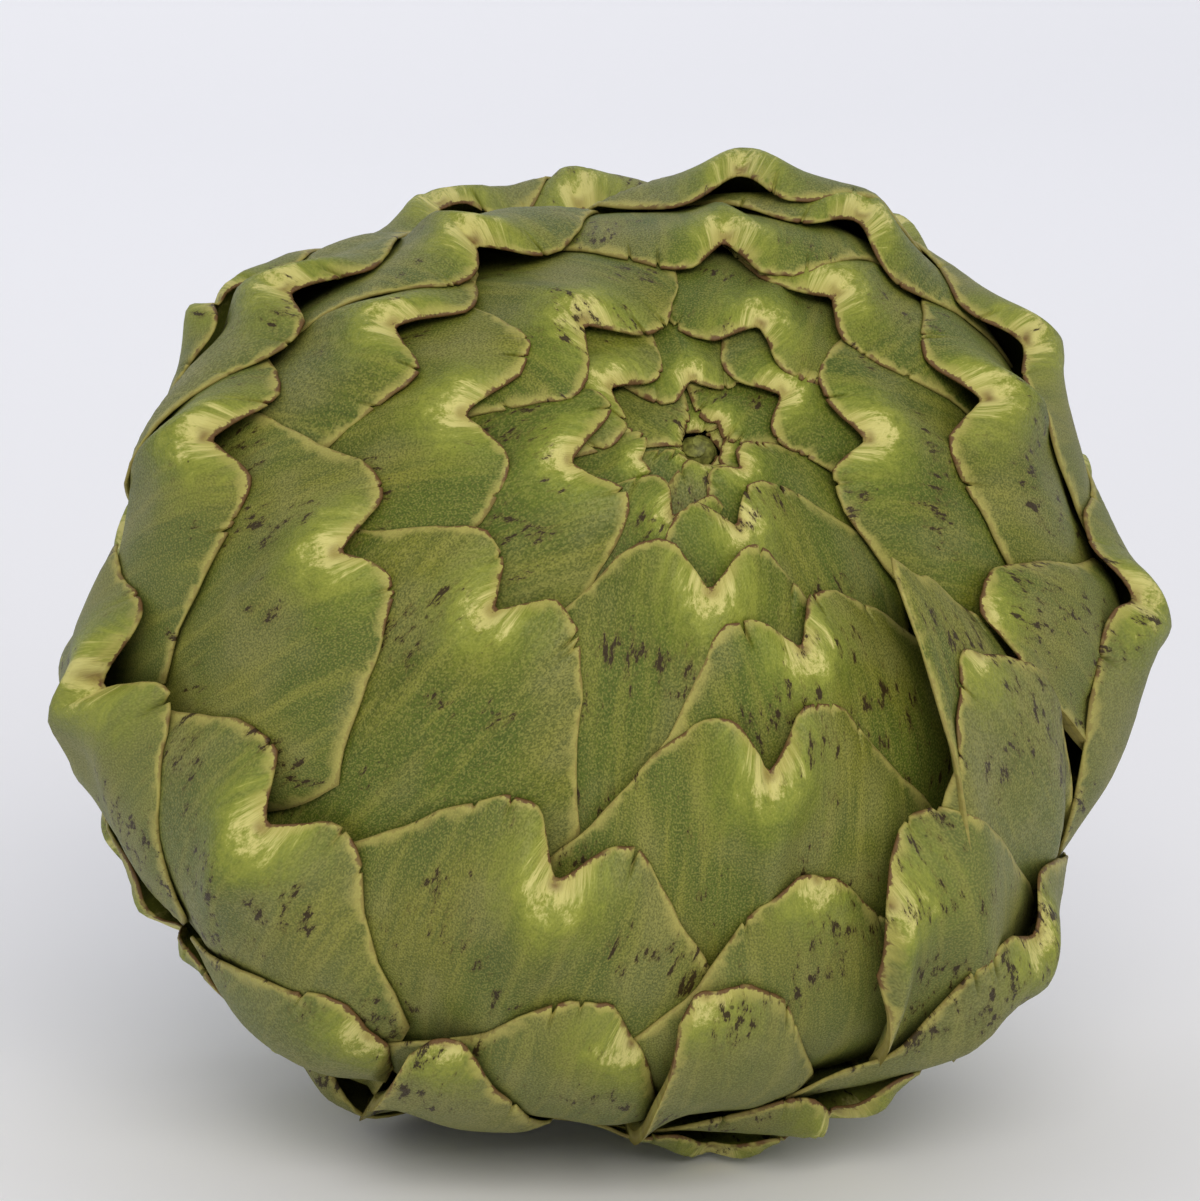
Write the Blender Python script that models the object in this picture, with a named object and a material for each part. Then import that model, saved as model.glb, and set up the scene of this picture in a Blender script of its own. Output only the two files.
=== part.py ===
"""Globe artichoke, cut from its plant and lying on its side on a stub of stem.

Units are metres, with +Z up. The origin is in the middle of the flat spot on which the
head lies. The tip of the head points to -Y and upwards.
"""

import math
import random

import bmesh
import bpy
from mathutils import Euler, Vector

MM = 0.001

# The whole head: a spheroid that touches the tips of the bracts
HEAD_RADIUS = 60 * MM
HEAD_HALF_LENGTH = 52.5 * MM
MEAN_RADIUS = (HEAD_RADIUS + HEAD_HALF_LENGTH) / 2
AXIS_RISE = math.radians(36)
HEAD_TURN = Euler((math.pi / 2 - AXIS_RISE, 0, 0))

# Its upper side grew a little flat, and its own weight flattens the side that it lies on
UPPER_SIDE = Vector((-0.25, 0.27, 0.93)).normalized()
UPPER_FLATTENING = 0.09
LOWER_SIDE = Vector((0, -0.1, -1)).normalized()
LOWER_FLATTENING = 0.065
FLATTENING_EDGE = 0.6

# What of the lowest bracts is pressed flat where they carry the head, and where the
# middle of the head is, seen from above the middle of that flat spot
FLAT_SPOT_DEPTH = 3 * MM
MIDDLE_X = -2 * MM
MIDDLE_Y = 9 * MM

# The fleshy base that the bracts grow from
CORE_DEPTH = 5 * MM
CORE_SEGMENTS = 24
CORE_RINGS = 12

# Bracts follow a spiral from the tip down to the stem, and orders below 0 close the tip
FIRST_BRACT = -3
LAST_BRACT = 71
SPIRAL_START = 275.5
SPIRAL_TURN = 137.25

# Degrees from the axis to the tips: wider and wider steps, then even ones, then wider again
TIP_ANGLE = 3.1
TIP_STEP = 0.84
TIP_STEP_GROWTH = 0.03
LAST_INNER_BRACT = 27
OUTER_STEP = 1.65
FIRST_BASE_BRACT = 51
BASE_STEP_GROWTH = 0.04

# Bracts are small round the tip, and shrink again towards the stem
TIP_SIZE = 0.38
TIP_SIZE_STEP = 0.062
FIRST_SHRINKING_BRACT = 46
STEM_SHRINKAGE = 0.5

# One bract at full size: a broad blade with a notch between two round lobes
BRACT_LENGTH = 52 * MM
BRACT_HALF_WIDTH = 24 * MM
ROOT_NARROWING = 0.4
NARROWING_START = 0.4
LOBE_OFFSET = 6.5 * MM
NOTCH_DEPTH = 4.4 * MM
SHOULDER_SLOPE = 1.2
SHOULDER_ROUNDING = 3.2 * MM
EDGE_THICKNESS = 1.1 * MM
ROOT_THICKNESS = 9 * MM
ROOT_SINK = 2.5 * MM
SINK_START = 0.7

# Every bract differs a little from the rule, by up to these amounts
SIZE_SPREAD = 0.04
LEAN_SPREAD = 4
NOTCH_SPREAD = 1.4 * MM
LOBE_SPREAD = 0.7 * MM

# How the blades lie on each other
TIP_LIFT = 1.5 * MM
OVERLAP_SLOPE = 0.12
EDGE_ROLL = 1.0 * MM
INNER_ROLL_SHARE = 0.3
FIRST_ROLLED_BRACT = 24
LOBE_CURL = 0.8 * MM
CURL_REACH = 10 * MM
SIDE_START = 0.6

# The notch stands up more on the outer bracts
INNER_NOTCH_LIFT = 0.8 * MM
OUTER_NOTCH_LIFT = 3.0 * MM
FIRST_LIFTED_BRACT = 12
LAST_LIFTED_BRACT = 36

# The grid of one blade, in cells across and along, finer near the notch and the edge
CELLS = (10, 4)
BASE_CELLS = (6, 3)
FIRST_COARSE_BRACT = 48
ROW_CROWDING = 1.6
COLUMN_CROWDING = 0.45

# The bud that closes the very tip
BUD_RADIUS = 7 * MM
BUD_SINK = 8 * MM

# The stub of stem
STEM_RADIUS = 9.5 * MM
STEM_TOP = 45 * MM
STEM_RIBS = 9
RIB_HEIGHT = 0.6 * MM
STEM_SEGMENTS = 54
STEM_CUT_BEVEL = 0.8 * MM
STEM_CLEARANCE = 0.1 * MM
JOINT_GAP = 0.3 * MM

# Bracts that the growth pushed off the spiral, in degrees round the axis and down from the tip
PUSHED = {
    0: (9, 3), 1: (-4, -1), 2: (-13, 1), 4: (17, 1), 5: (-14, 0), 6: (3, -3), 7: (-8, 2),
    8: (-18, -2), 9: (22, 2), 10: (7, -1), 11: (6, -4), 12: (12, 6), 13: (-4, 1),
    14: (-16, -1), 15: (-9, 2), 16: (-7, 0), 17: (12, 6), 18: (7, 4), 19: (3, 0),
    20: (3, 6), 21: (-2, 2), 22: (-6, 0), 23: (16, -2), 24: (7, 4), 25: (-29, -1),
    26: (9, 5), 27: (-8, -1), 28: (3, -8), 29: (7, 8), 30: (-16, -16), 31: (18, -3),
    32: (3, 6), 33: (-9, -9), 35: (-8, -16), 37: (11, 11), 38: (-15, -17), 40: (-4, -12),
    42: (-5, -3), 43: (-21, -13), 45: (-3, -3), 48: (-6, -5), 50: (-2, -3), 53: (16, -9),
    58: (-4, -5),
}

# Bracts that lean over to one side, in degrees, and how far the notch of others is off centre
LEANING = {22: 25}
OFF_CENTRE = {27: 3 * MM, 35: -9 * MM, 40: -8 * MM}


def share(value, start, end):
    """Rises smoothly from 0 at the start to 1 at the end."""
    part = min(max((value - start) / (end - start), 0), 1)
    return part * part * (3 - 2 * part)


def make_material(name, color, roughness):
    material = bpy.data.materials.new(name)
    material.use_nodes = True
    shader = material.node_tree.nodes["Principled BSDF"]
    shader.inputs["Base Color"].default_value = (*color, 1)
    shader.inputs["Roughness"].default_value = roughness
    shader.inputs["Metallic"].default_value = 0
    material.diffuse_color = (*color, 1)
    return material


def make_collection(name):
    collection = bpy.data.collections.new(name)
    bpy.context.scene.collection.children.link(collection)
    return collection


def add_object(name, mesh, collection, frame=None):
    thing = bpy.data.objects.new(name, mesh)
    collection.objects.link(thing)
    thing.parent = frame
    return thing


def mesh_from(bm, name):
    mesh = bpy.data.meshes.new(name)
    bmesh.ops.recalc_face_normals(bm, faces=bm.faces)
    bm.to_mesh(mesh)
    bm.free()
    return mesh


def side_share(direction, side):
    """How far a direction in the head's own frame belongs to a flattened side, 0 to 1."""
    closeness = (HEAD_TURN.to_matrix() @ direction).dot(side)
    return share(closeness, FLATTENING_EDGE, 1)


def head_surface(direction):
    """Distance from the middle of the head to its outside, along a unit vector."""
    across = direction.x ** 2 + direction.y ** 2
    along = direction.z ** 2
    distance = 1 / math.sqrt(across / HEAD_RADIUS ** 2 + along / HEAD_HALF_LENGTH ** 2)
    upper = UPPER_FLATTENING * side_share(direction, UPPER_SIDE)
    lower = LOWER_FLATTENING * side_share(direction, LOWER_SIDE)
    return distance * (1 - upper - lower)


def tip_angle(order):
    """Angle between the axis and the tip of a bract, in degrees."""
    inner = min(order, LAST_INNER_BRACT)
    outer = order - inner
    base = max(0, order - FIRST_BASE_BRACT)
    from_tip = TIP_ANGLE + TIP_STEP * inner + TIP_STEP_GROWTH * inner ** 2
    return from_tip + OUTER_STEP * outer + BASE_STEP_GROWTH * base ** 2


def bract_size(order):
    shrinkage = STEM_SHRINKAGE * share(order, FIRST_SHRINKING_BRACT, LAST_BRACT)
    return min(1, TIP_SIZE + TIP_SIZE_STEP * order) * (1 - shrinkage)


def notch_lift(order):
    gain = share(order, FIRST_LIFTED_BRACT, LAST_LIFTED_BRACT)
    return INNER_NOTCH_LIFT + (OUTER_NOTCH_LIFT - INNER_NOTCH_LIFT) * gain


def edge_roll(order):
    """The edges of the innermost bracts lie nearly straight."""
    gain = (1 - INNER_ROLL_SHARE) * share(order, 0, FIRST_ROLLED_BRACT)
    return EDGE_ROLL * (INNER_ROLL_SHARE + gain)


class Bract:
    """Where one bract sits, how large it is and how it differs from the others."""

    def __init__(self, order, chance):
        turn, drop = PUSHED.get(order, (0, 0))
        self.order = order
        self.azimuth = math.radians(SPIRAL_START + SPIRAL_TURN * order + turn)
        self.tip = math.radians(tip_angle(order) + drop)
        self.size = bract_size(order) * (1 + SIZE_SPREAD * chance.uniform(-1, 1))
        self.lean = math.radians(LEANING.get(order, 0) + LEAN_SPREAD * chance.uniform(-1, 1))
        self.notch_shift = OFF_CENTRE.get(order, 0) + NOTCH_SPREAD * chance.uniform(-1, 1)
        self.lobe_drop = LOBE_SPREAD * chance.uniform(-1, 1)
        self.length = BRACT_LENGTH * self.size
        self.middle = self.tip + self.length / 2 / MEAN_RADIUS

    def direction(self, across, up):
        """Unit vector of a point on the blade, given in metres from the blade's middle."""
        turned_across = across * math.cos(self.lean) + up * math.sin(self.lean)
        turned_up = up * math.cos(self.lean) - across * math.sin(self.lean)
        sin_a, cos_a = math.sin(self.azimuth), math.cos(self.azimuth)
        sin_m, cos_m = math.sin(self.middle), math.cos(self.middle)
        outward = Vector((sin_m * sin_a, -sin_m * cos_a, cos_m))
        sideways = Vector((cos_a, sin_a, 0))
        upward = Vector((-cos_m * sin_a, cos_m * cos_a, sin_m))
        reach = math.hypot(turned_across, turned_up)
        angle = reach / MEAN_RADIUS
        heading = (sideways * turned_across + upward * turned_up) / max(reach, MM * MM)
        return outward * math.cos(angle) + heading * math.sin(angle)

    def edge_depth(self, across):
        """How far the edge lies below the lobes, at one place across the blade."""
        lobe = LOBE_OFFSET * self.size
        distance = abs(across - self.notch_shift * self.size)
        side_drop = self.lobe_drop if across > 0 else -self.lobe_drop
        if distance < lobe:
            wave = 0.5 + 0.5 * math.cos(math.pi * distance / lobe)
            return side_drop + NOTCH_DEPTH * self.size * wave
        past = distance - lobe
        rounding = SHOULDER_ROUNDING * self.size
        return side_drop + SHOULDER_SLOPE * (math.hypot(past, rounding) - rounding)

    def point(self, u, v, level):
        """A point of the blade: u is -1 to 1 across, v is -1 at the root to 1 at the edge.

        A level of 0 is the outer face and -1 the inner face.
        """
        crowded = u * (1 - COLUMN_CROWDING + COLUMN_CROWDING * abs(u))
        across = BRACT_HALF_WIDTH * self.size * crowded
        depth = self.edge_depth(across)
        from_edge = ((1 - v) / 2) ** ROW_CROWDING * (self.length - depth)
        down = depth + from_edge
        narrowing = ROOT_NARROWING * share(down / self.length, NARROWING_START, 1)
        way = self.direction(across * (1 - narrowing), self.length / 2 - down)
        angle = math.acos(min(max(way.z, -1), 1))
        height = TIP_LIFT - OVERLAP_SLOPE * MEAN_RADIUS * (angle - self.tip)
        height += self.relief(across, from_edge)
        height -= ROOT_SINK * share(down / self.length, SINK_START, 1)
        thickness = EDGE_THICKNESS if v > 1 - MM else ROOT_THICKNESS
        return way * (head_surface(way) + height + level * thickness)

    def relief(self, across, from_edge):
        """The rolled edge, the curled lobes and the raised notch."""
        near_edge = 1 - share(from_edge, 0, CURL_REACH)
        from_notch = abs(across / self.size - self.notch_shift)
        notch = 1 - share(from_notch, 0, LOBE_OFFSET)
        side = abs(across) / (BRACT_HALF_WIDTH * self.size)
        near_side = share(side, SIDE_START, 1)
        roll = edge_roll(self.order) * max(near_edge, near_side)
        curl = LOBE_CURL * (1 - notch) * (1 - near_side) * near_edge
        lift = notch_lift(self.order) * notch * near_edge
        return (lift - roll - curl) * self.size


def make_blade(bract, collection, frame):
    bm = bmesh.new()
    cells_across, cells_along = CELLS if bract.order < FIRST_COARSE_BRACT else BASE_CELLS
    bmesh.ops.create_grid(bm, x_segments=cells_across, y_segments=cells_along, size=1)
    outer_face = bm.faces[:]
    grown = bmesh.ops.extrude_face_region(bm, geom=outer_face, use_keep_orig=True)
    inner_points = {item for item in grown["geom"] if isinstance(item, bmesh.types.BMVert)}
    for corner in bm.verts:
        level = -1 if corner in inner_points else 0
        corner.co = bract.point(corner.co.x, corner.co.y, level)
    bmesh.ops.triangulate(bm, faces=bm.faces)
    mesh = mesh_from(bm, f"blade_{bract.order}")
    return add_object(mesh.name, mesh, collection, frame)


def make_core(collection, frame, material):
    bm = bmesh.new()
    bmesh.ops.create_uvsphere(bm, u_segments=CORE_SEGMENTS, v_segments=CORE_RINGS, radius=1)
    for corner in bm.verts:
        way = corner.co.normalized()
        corner.co = way * (head_surface(way) - CORE_DEPTH)
    mesh = mesh_from(bm, "bract_head")
    mesh.materials.append(material)
    return add_object("bract_head", mesh, collection, frame)


def make_bud(collection, frame):
    """The rounded bud between the innermost bracts."""
    bm = bmesh.new()
    bmesh.ops.create_icosphere(bm, subdivisions=1, radius=BUD_RADIUS)
    bmesh.ops.translate(bm, verts=bm.verts, vec=(0, 0, HEAD_HALF_LENGTH - BUD_SINK))
    return add_object("bud", mesh_from(bm, "bud"), collection, frame)


def make_cutter(name, bm, collection, frame=None):
    cutter = add_object(name, mesh_from(bm, name), collection, frame)
    cutter.hide_render = True
    cutter.display_type = "WIRE"
    return cutter


def make_floor_cutter(collection):
    """Everything below the surface that the head lies on."""
    bm = bmesh.new()
    bmesh.ops.create_cube(bm, size=4 * HEAD_RADIUS)
    bmesh.ops.translate(bm, verts=bm.verts, vec=(0, 0, -2 * HEAD_RADIUS))
    return make_cutter("below_the_surface", bm, collection)


def cylinder_along_axis(radius, top, end, segments):
    """A cylinder on the head's axis between two distances behind its middle."""
    bm = bmesh.new()
    bmesh.ops.create_cone(bm, cap_ends=True, segments=segments, radius1=radius,
                          radius2=radius, depth=end - top)
    bmesh.ops.translate(bm, verts=bm.verts, vec=(0, 0, -(top + end) / 2))
    return bm


def make_socket_cutter(collection, frame):
    """The place of the stem, with the gap round it."""
    radius = STEM_RADIUS + RIB_HEIGHT + JOINT_GAP
    bm = cylinder_along_axis(radius, STEM_TOP - JOINT_GAP, stem_end(), STEM_SEGMENTS)
    return make_cutter("stem_socket", bm, collection, frame)


def add_boolean(thing, operation, solver, operand):
    modifier = thing.modifiers.new(operation.lower(), "BOOLEAN")
    modifier.operation = operation
    modifier.solver = solver
    if isinstance(operand, bpy.types.Collection):
        modifier.operand_type = "COLLECTION"
        modifier.collection = operand
    else:
        modifier.object = operand


def keep_largest_shell(mesh):
    """Fills sealed hollows and drops loose scraps: only the outer shell stays."""
    bm = bmesh.new()
    bm.from_mesh(mesh)
    waiting = set(bm.faces)
    shells = []
    while waiting:
        front = [waiting.pop()]
        shell = set(front)
        while front:
            face = front.pop()
            near = {other for edge in face.edges for other in edge.link_faces} & waiting
            waiting -= near
            shell |= near
            front.extend(near)
        shells.append(shell)
    shells.sort(key=len)
    extra = [face for shell in shells[:-1] for face in shell]
    bmesh.ops.delete(bm, geom=extra, context="FACES")
    bmesh.ops.triangulate(bm, faces=bm.faces)
    bm.to_mesh(mesh)
    bm.free()


def apply_modifiers(thing):
    view = bpy.context.evaluated_depsgraph_get()
    mesh = bpy.data.meshes.new_from_object(thing.evaluated_get(view))
    thing.modifiers.clear()
    thing.data = mesh
    return mesh


def make_head(parts, cutters, frame, material):
    """The bracts, fused to the core that they grow from."""
    blades = make_collection("blades")
    chance = random.Random(12)
    for order in range(FIRST_BRACT, LAST_BRACT + 1):
        make_blade(Bract(order, chance), blades, frame)
    make_bud(blades, frame)
    head = make_core(parts, frame, material)
    add_boolean(head, "UNION", "MANIFOLD", blades)
    add_boolean(head, "DIFFERENCE", "MANIFOLD", make_socket_cutter(cutters, frame))
    add_boolean(head, "DIFFERENCE", "MANIFOLD", make_floor_cutter(cutters))
    bpy.context.view_layer.update()
    mesh = apply_modifiers(head)
    keep_largest_shell(mesh)
    for blade in list(blades.objects):
        bpy.data.objects.remove(blade)
    bpy.data.collections.remove(blades)
    return head


def make_stem(parts, frame, material):
    """A ribbed stub, cut square."""
    bm = cylinder_along_axis(STEM_RADIUS, STEM_TOP, stem_end(), STEM_SEGMENTS)
    for corner in bm.verts:
        angle = math.atan2(corner.co.y, corner.co.x)
        swell = 1 + RIB_HEIGHT / STEM_RADIUS * math.cos(STEM_RIBS * angle)
        corner.co.x *= swell
        corner.co.y *= swell
    lowest = -stem_end() + MM / 10
    cut_edges = [edge for edge in bm.edges if all(end.co.z < lowest for end in edge.verts)]
    bmesh.ops.bevel(bm, geom=cut_edges, offset=STEM_CUT_BEVEL, segments=1, affect="EDGES")
    mesh = mesh_from(bm, "stem")
    mesh.materials.append(material)
    return add_object("stem", mesh, parts, frame)


def middle_height():
    """Height of the head's middle when its flat spot lies on the surface."""
    along = HEAD_HALF_LENGTH * math.sin(AXIS_RISE)
    across = HEAD_RADIUS * math.cos(AXIS_RISE)
    unpressed = math.hypot(along, across) * (1 - LOWER_FLATTENING) + TIP_LIFT
    return unpressed - FLAT_SPOT_DEPTH


def stem_end():
    """Distance from the middle to the cut, which leaves the stub just off the surface."""
    rim = (STEM_RADIUS + RIB_HEIGHT) * math.cos(AXIS_RISE) + STEM_CLEARANCE
    return (middle_height() - rim) / math.sin(AXIS_RISE)


def make_frame(collection):
    """An empty in the middle of the head, with its Z along the head's axis."""
    frame = bpy.data.objects.new("head_frame", None)
    collection.objects.link(frame)
    frame.location = (MIDDLE_X, MIDDLE_Y, middle_height())
    frame.rotation_euler = HEAD_TURN
    bpy.context.view_layer.update()
    return frame


for thing in list(bpy.data.objects):
    bpy.data.objects.remove(thing)

parts_collection = make_collection("artichoke")
cutter_collection = make_collection("cutters")
bract_green = make_material("bract_green", (0.16, 0.20, 0.06), 0.62)
stem_green = make_material("stem_green", (0.24, 0.27, 0.12), 0.7)
head_frame = make_frame(parts_collection)
make_head(parts_collection, cutter_collection, head_frame, bract_green)
make_stem(parts_collection, head_frame, stem_green)
bpy.context.view_layer.update()
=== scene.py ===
# %% [markdown]
# A globe artichoke is a flower bud: a fleshy base with about seventy-five leathery bracts that
# grow out of it in a spiral and close over each other like roof tiles.
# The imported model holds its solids. This script puts a finer skin in their place:
# every bract becomes a thin shell of its own that lies on the bracts under it.

import math
import random

import bmesh
import bpy
import numpy as np
from mathutils import Euler, Matrix, Vector
from mathutils.bvhtree import BVHTree


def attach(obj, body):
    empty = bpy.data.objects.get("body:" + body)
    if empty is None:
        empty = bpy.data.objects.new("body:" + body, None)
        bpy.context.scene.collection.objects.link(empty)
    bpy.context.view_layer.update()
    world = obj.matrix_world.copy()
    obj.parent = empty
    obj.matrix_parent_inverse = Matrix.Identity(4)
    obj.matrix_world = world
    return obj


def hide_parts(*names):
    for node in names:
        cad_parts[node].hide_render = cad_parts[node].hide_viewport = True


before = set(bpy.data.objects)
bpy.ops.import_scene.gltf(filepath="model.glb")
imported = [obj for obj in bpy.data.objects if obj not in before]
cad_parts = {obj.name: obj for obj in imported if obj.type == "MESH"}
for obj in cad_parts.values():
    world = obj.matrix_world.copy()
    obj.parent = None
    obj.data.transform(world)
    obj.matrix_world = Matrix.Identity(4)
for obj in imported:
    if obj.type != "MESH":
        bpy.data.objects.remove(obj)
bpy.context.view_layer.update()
print("nodes:", sorted(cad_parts))

# %% [markdown]
# The head is a spheroid, a little flat on top and where its weight presses on the table.
# These values repeat the ones that the solids were made with, because the fine bracts have
# to lie where the solid ones are. A few soft lumps and hollows, of up to six millimetres, bring
# its outline nearer to this very head.

# %% The head's form and place
MM = 0.001
HEAD_RADIUS = 60 * MM
HEAD_HALF_LENGTH = 52.5 * MM
MEAN_RADIUS = (HEAD_RADIUS + HEAD_HALF_LENGTH) / 2
AXIS_RISE = math.radians(36)
HEAD_TURN = np.array(Euler((math.pi / 2 - AXIS_RISE, 0, 0)).to_matrix())
UPPER_SIDE = np.array(Vector((-0.25, 0.27, 0.93)).normalized())
UPPER_FLATTENING = 0.09
LOWER_SIDE = np.array(Vector((0, -0.1, -1)).normalized())
LOWER_FLATTENING = 0.065
FLATTENING_EDGE = 0.6
TIP_LIFT = 1.5 * MM
FLAT_SPOT_DEPTH = 3 * MM

# Direction from the middle, how far it stands out in millimetres, and its reach in degrees
LUMPS = (
    ((-0.89, 0.30, 0.33), -4.2, 26),
    ((-0.97, 0.21, -0.14), 2.2, 20),
    ((-0.77, 0.06, -0.63), -4.5, 20),
    ((-0.48, -0.07, -0.87), 4.0, 14),
    ((0.05, -0.22, -0.97), -2.5, 22),
    ((0.47, -0.30, -0.83), -6.2, 20),
    ((0.75, -0.31, -0.58), -3.5, 14),
    ((0.97, -0.24, 0), 1.6, 22),
    ((-0.05, 0.22, 0.97), -6.5, 16),
    ((-0.53, 0.30, 0.79), 2.0, 16),
    ((-0.95, 0.27, 0.15), -1.6, 20),
    ((-0.87, 0.11, -0.49), -2.2, 12),
    ((-0.69, 0.31, 0.65), -4.2, 12),
)

# %% [markdown]
# Points are worked out in the head's own frame, with its middle at zero and its tip along +Z,
# and turned into place at the end. One function gives the distance to the head's outside in
# any direction, for many directions at once.

# %% The outside of the head
def middle_height():
    """Height of the head's middle when its flat spot lies on the table."""
    along = HEAD_HALF_LENGTH * math.sin(AXIS_RISE)
    across = HEAD_RADIUS * math.cos(AXIS_RISE)
    unpressed = math.hypot(along, across) * (1 - LOWER_FLATTENING) + TIP_LIFT
    return unpressed - FLAT_SPOT_DEPTH


MIDDLE = np.array((-2 * MM, 9 * MM, middle_height()))


def rise(value, start, end):
    """Rises smoothly from 0 at the start to 1 at the end."""
    part = np.clip((value - start) / (end - start), 0, 1)
    return part * part * (3 - 2 * part)


def to_world(points):
    return points @ HEAD_TURN.T + MIDDLE


def head_surface(ways):
    """Distance from the middle of the head to its outside, along unit vectors."""
    across = (ways[..., 0] ** 2 + ways[..., 1] ** 2) / HEAD_RADIUS ** 2
    along = ways[..., 2] ** 2 / HEAD_HALF_LENGTH ** 2
    turned = ways @ HEAD_TURN.T
    upper = UPPER_FLATTENING * rise(turned @ UPPER_SIDE, FLATTENING_EDGE, 1)
    lower = LOWER_FLATTENING * rise(turned @ LOWER_SIDE, FLATTENING_EDGE, 1)
    lumps = sum(height * MM * rise(turned @ np.array(toward), math.cos(math.radians(reach)), 1)
                for toward, height, reach in LUMPS)
    return (1 - upper - lower) / np.sqrt(across + along) + lumps


print("middle of the head:", (MIDDLE / MM).round(1), "mm")

# %% [markdown]
# Bracts, like the scales of a pine cone, grow one after another, each turned by the golden
# angle from the last. A real head is never that even, so some bracts are pushed a few degrees
# off the spiral, as they are on this one. The numbers and the order of the random draws are
# those of the solid head. A few tiny bracts inside the first ones, with no notch yet, close
# the tip round the bud.

# %% The spiral
FIRST_BRACT = -3
FIRST_FINE_BRACT = -10
LAST_BRACT = 71
SPIRAL_START = 275.5
SPIRAL_TURN = 137.25
TIP_ANGLE = 3.1
TIP_STEP = 0.84
TIP_STEP_GROWTH = 0.03
LAST_INNER_BRACT = 27
OUTER_STEP = 1.65
FIRST_BASE_BRACT = 51
BASE_STEP_GROWTH = 0.04
TIP_SIZE = 0.38
TIP_SIZE_STEP = 0.062
LEAST_SIZE = 0.22
FIRST_SHRINKING_BRACT = 46
STEM_SHRINKAGE = 0.5
SIZE_SPREAD = 0.04
LEAN_SPREAD = 4
NOTCH_SPREAD = 1.4 * MM
LOBE_SPREAD = 0.7 * MM

# Degrees round the axis and down from the tip
PUSHED = {
    0: (9, 3), 1: (-4, -1), 2: (-13, 1), 4: (17, 1), 5: (-14, 0), 6: (3, -3), 7: (-8, 2),
    8: (-18, -2), 9: (22, 2), 10: (7, -1), 11: (6, -4), 12: (12, 6), 13: (-4, 1),
    14: (-16, -1), 15: (-9, 2), 16: (-7, 0), 17: (12, 6), 18: (7, 4), 19: (3, 0),
    20: (3, 6), 21: (-2, 2), 22: (-6, 0), 23: (16, -2), 24: (7, 4), 25: (-29, -1),
    26: (9, 5), 27: (-8, -1), 28: (3, -8), 29: (7, 8), 30: (-16, -16), 31: (18, -3),
    32: (3, 6), 33: (-9, -9), 35: (-8, -16), 37: (11, 11), 38: (-15, -17), 40: (-4, -12),
    42: (-5, -3), 43: (-21, -13), 45: (-3, -3), 48: (-6, -5), 50: (-2, -3), 53: (16, -9),
    58: (-4, -5),
}

# The least angle between the axis and a bract's tip, bracts that lean, in degrees, and bracts
# whose notch is off the middle
OPENING = math.radians(2.1)
LEANING = {22: 25}
OFF_CENTRE = {27: 3 * MM, 35: -9 * MM, 40: -8 * MM}


def tip_angle(order):
    """Angle between the axis and the tip of a bract, in degrees."""
    inner = min(order, LAST_INNER_BRACT)
    base = max(0, order - FIRST_BASE_BRACT)
    from_tip = TIP_ANGLE + TIP_STEP * inner + TIP_STEP_GROWTH * inner ** 2
    return from_tip + OUTER_STEP * (order - inner) + BASE_STEP_GROWTH * base ** 2


def bract_size(order):
    shrinkage = STEM_SHRINKAGE * rise(order, FIRST_SHRINKING_BRACT, LAST_BRACT)
    size = min(1, TIP_SIZE + TIP_SIZE_STEP * order) * (1 - shrinkage)
    return max(size, LEAST_SIZE) if order < FIRST_BRACT else size


# %% [markdown]
# One bract is a broad blade. Its end has a notch, where the midrib stops, between two round
# lobes. The outline is a formula in millimetres across the blade, so that it can be drawn
# as finely as needed. The leathery margin has small waves, and splits where it tore as the
# bud grew.

# %% The outline of an even bract
BRACT_LENGTH = 52 * MM
BRACT_HALF_WIDTH = 24 * MM
ROOT_NARROWING = 0.4
NARROWING_START = 0.4
LOBE_OFFSET = 5.0 * MM
LOBE_FLAT = 1.3 * MM
NOTCH_DEPTH = 5.2 * MM
SHOULDER_SLOPE = 1.2
SHOULDER_ROUNDING = 3.2 * MM
LOBE_VARIETY = 0.2
NOTCH_SHARPNESS = 1.5
FIRST_NOTCH = -4
LAST_SHALLOW_NOTCH = 4
SINUS_DEPTH = 0.7 * MM
SINUS_WIDTH = 0.7 * MM
WAVE_LENGTHS = (11 * MM, 5.3 * MM, 2.1 * MM)
WAVE_HEIGHTS = (0.3 * MM, 0.16 * MM, 0.07 * MM)
SPLITS = 3
SPLIT_REACH = 13 * MM
NEAREST_SPLIT = 0.25
SPLIT_HALF_WIDTH = 0.28 * MM
SPLIT_DEPTHS = (0.5 * MM, 2.2 * MM)
SPLIT_FADE = 4 * MM
LEAST_DETAIL = 0.4


def softened(size):
    """Shrinks less than a bract does, so that details of small bracts still show."""
    return LEAST_DETAIL + (1 - LEAST_DETAIL) * size


# %% [markdown]
# A few bracts of this head were torn or folded as they grew, or are partly tucked under their
# neighbours. Each has an outline of its own, drawn through a few points. The corners at the
# points are rounded by averaging the line with shifted copies of itself.

# %% Bracts with an outline of their own
CORNER_ROUNDING = (-0.8 * MM, -0.4 * MM, 0, 0.4 * MM, 0.8 * MM)

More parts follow.
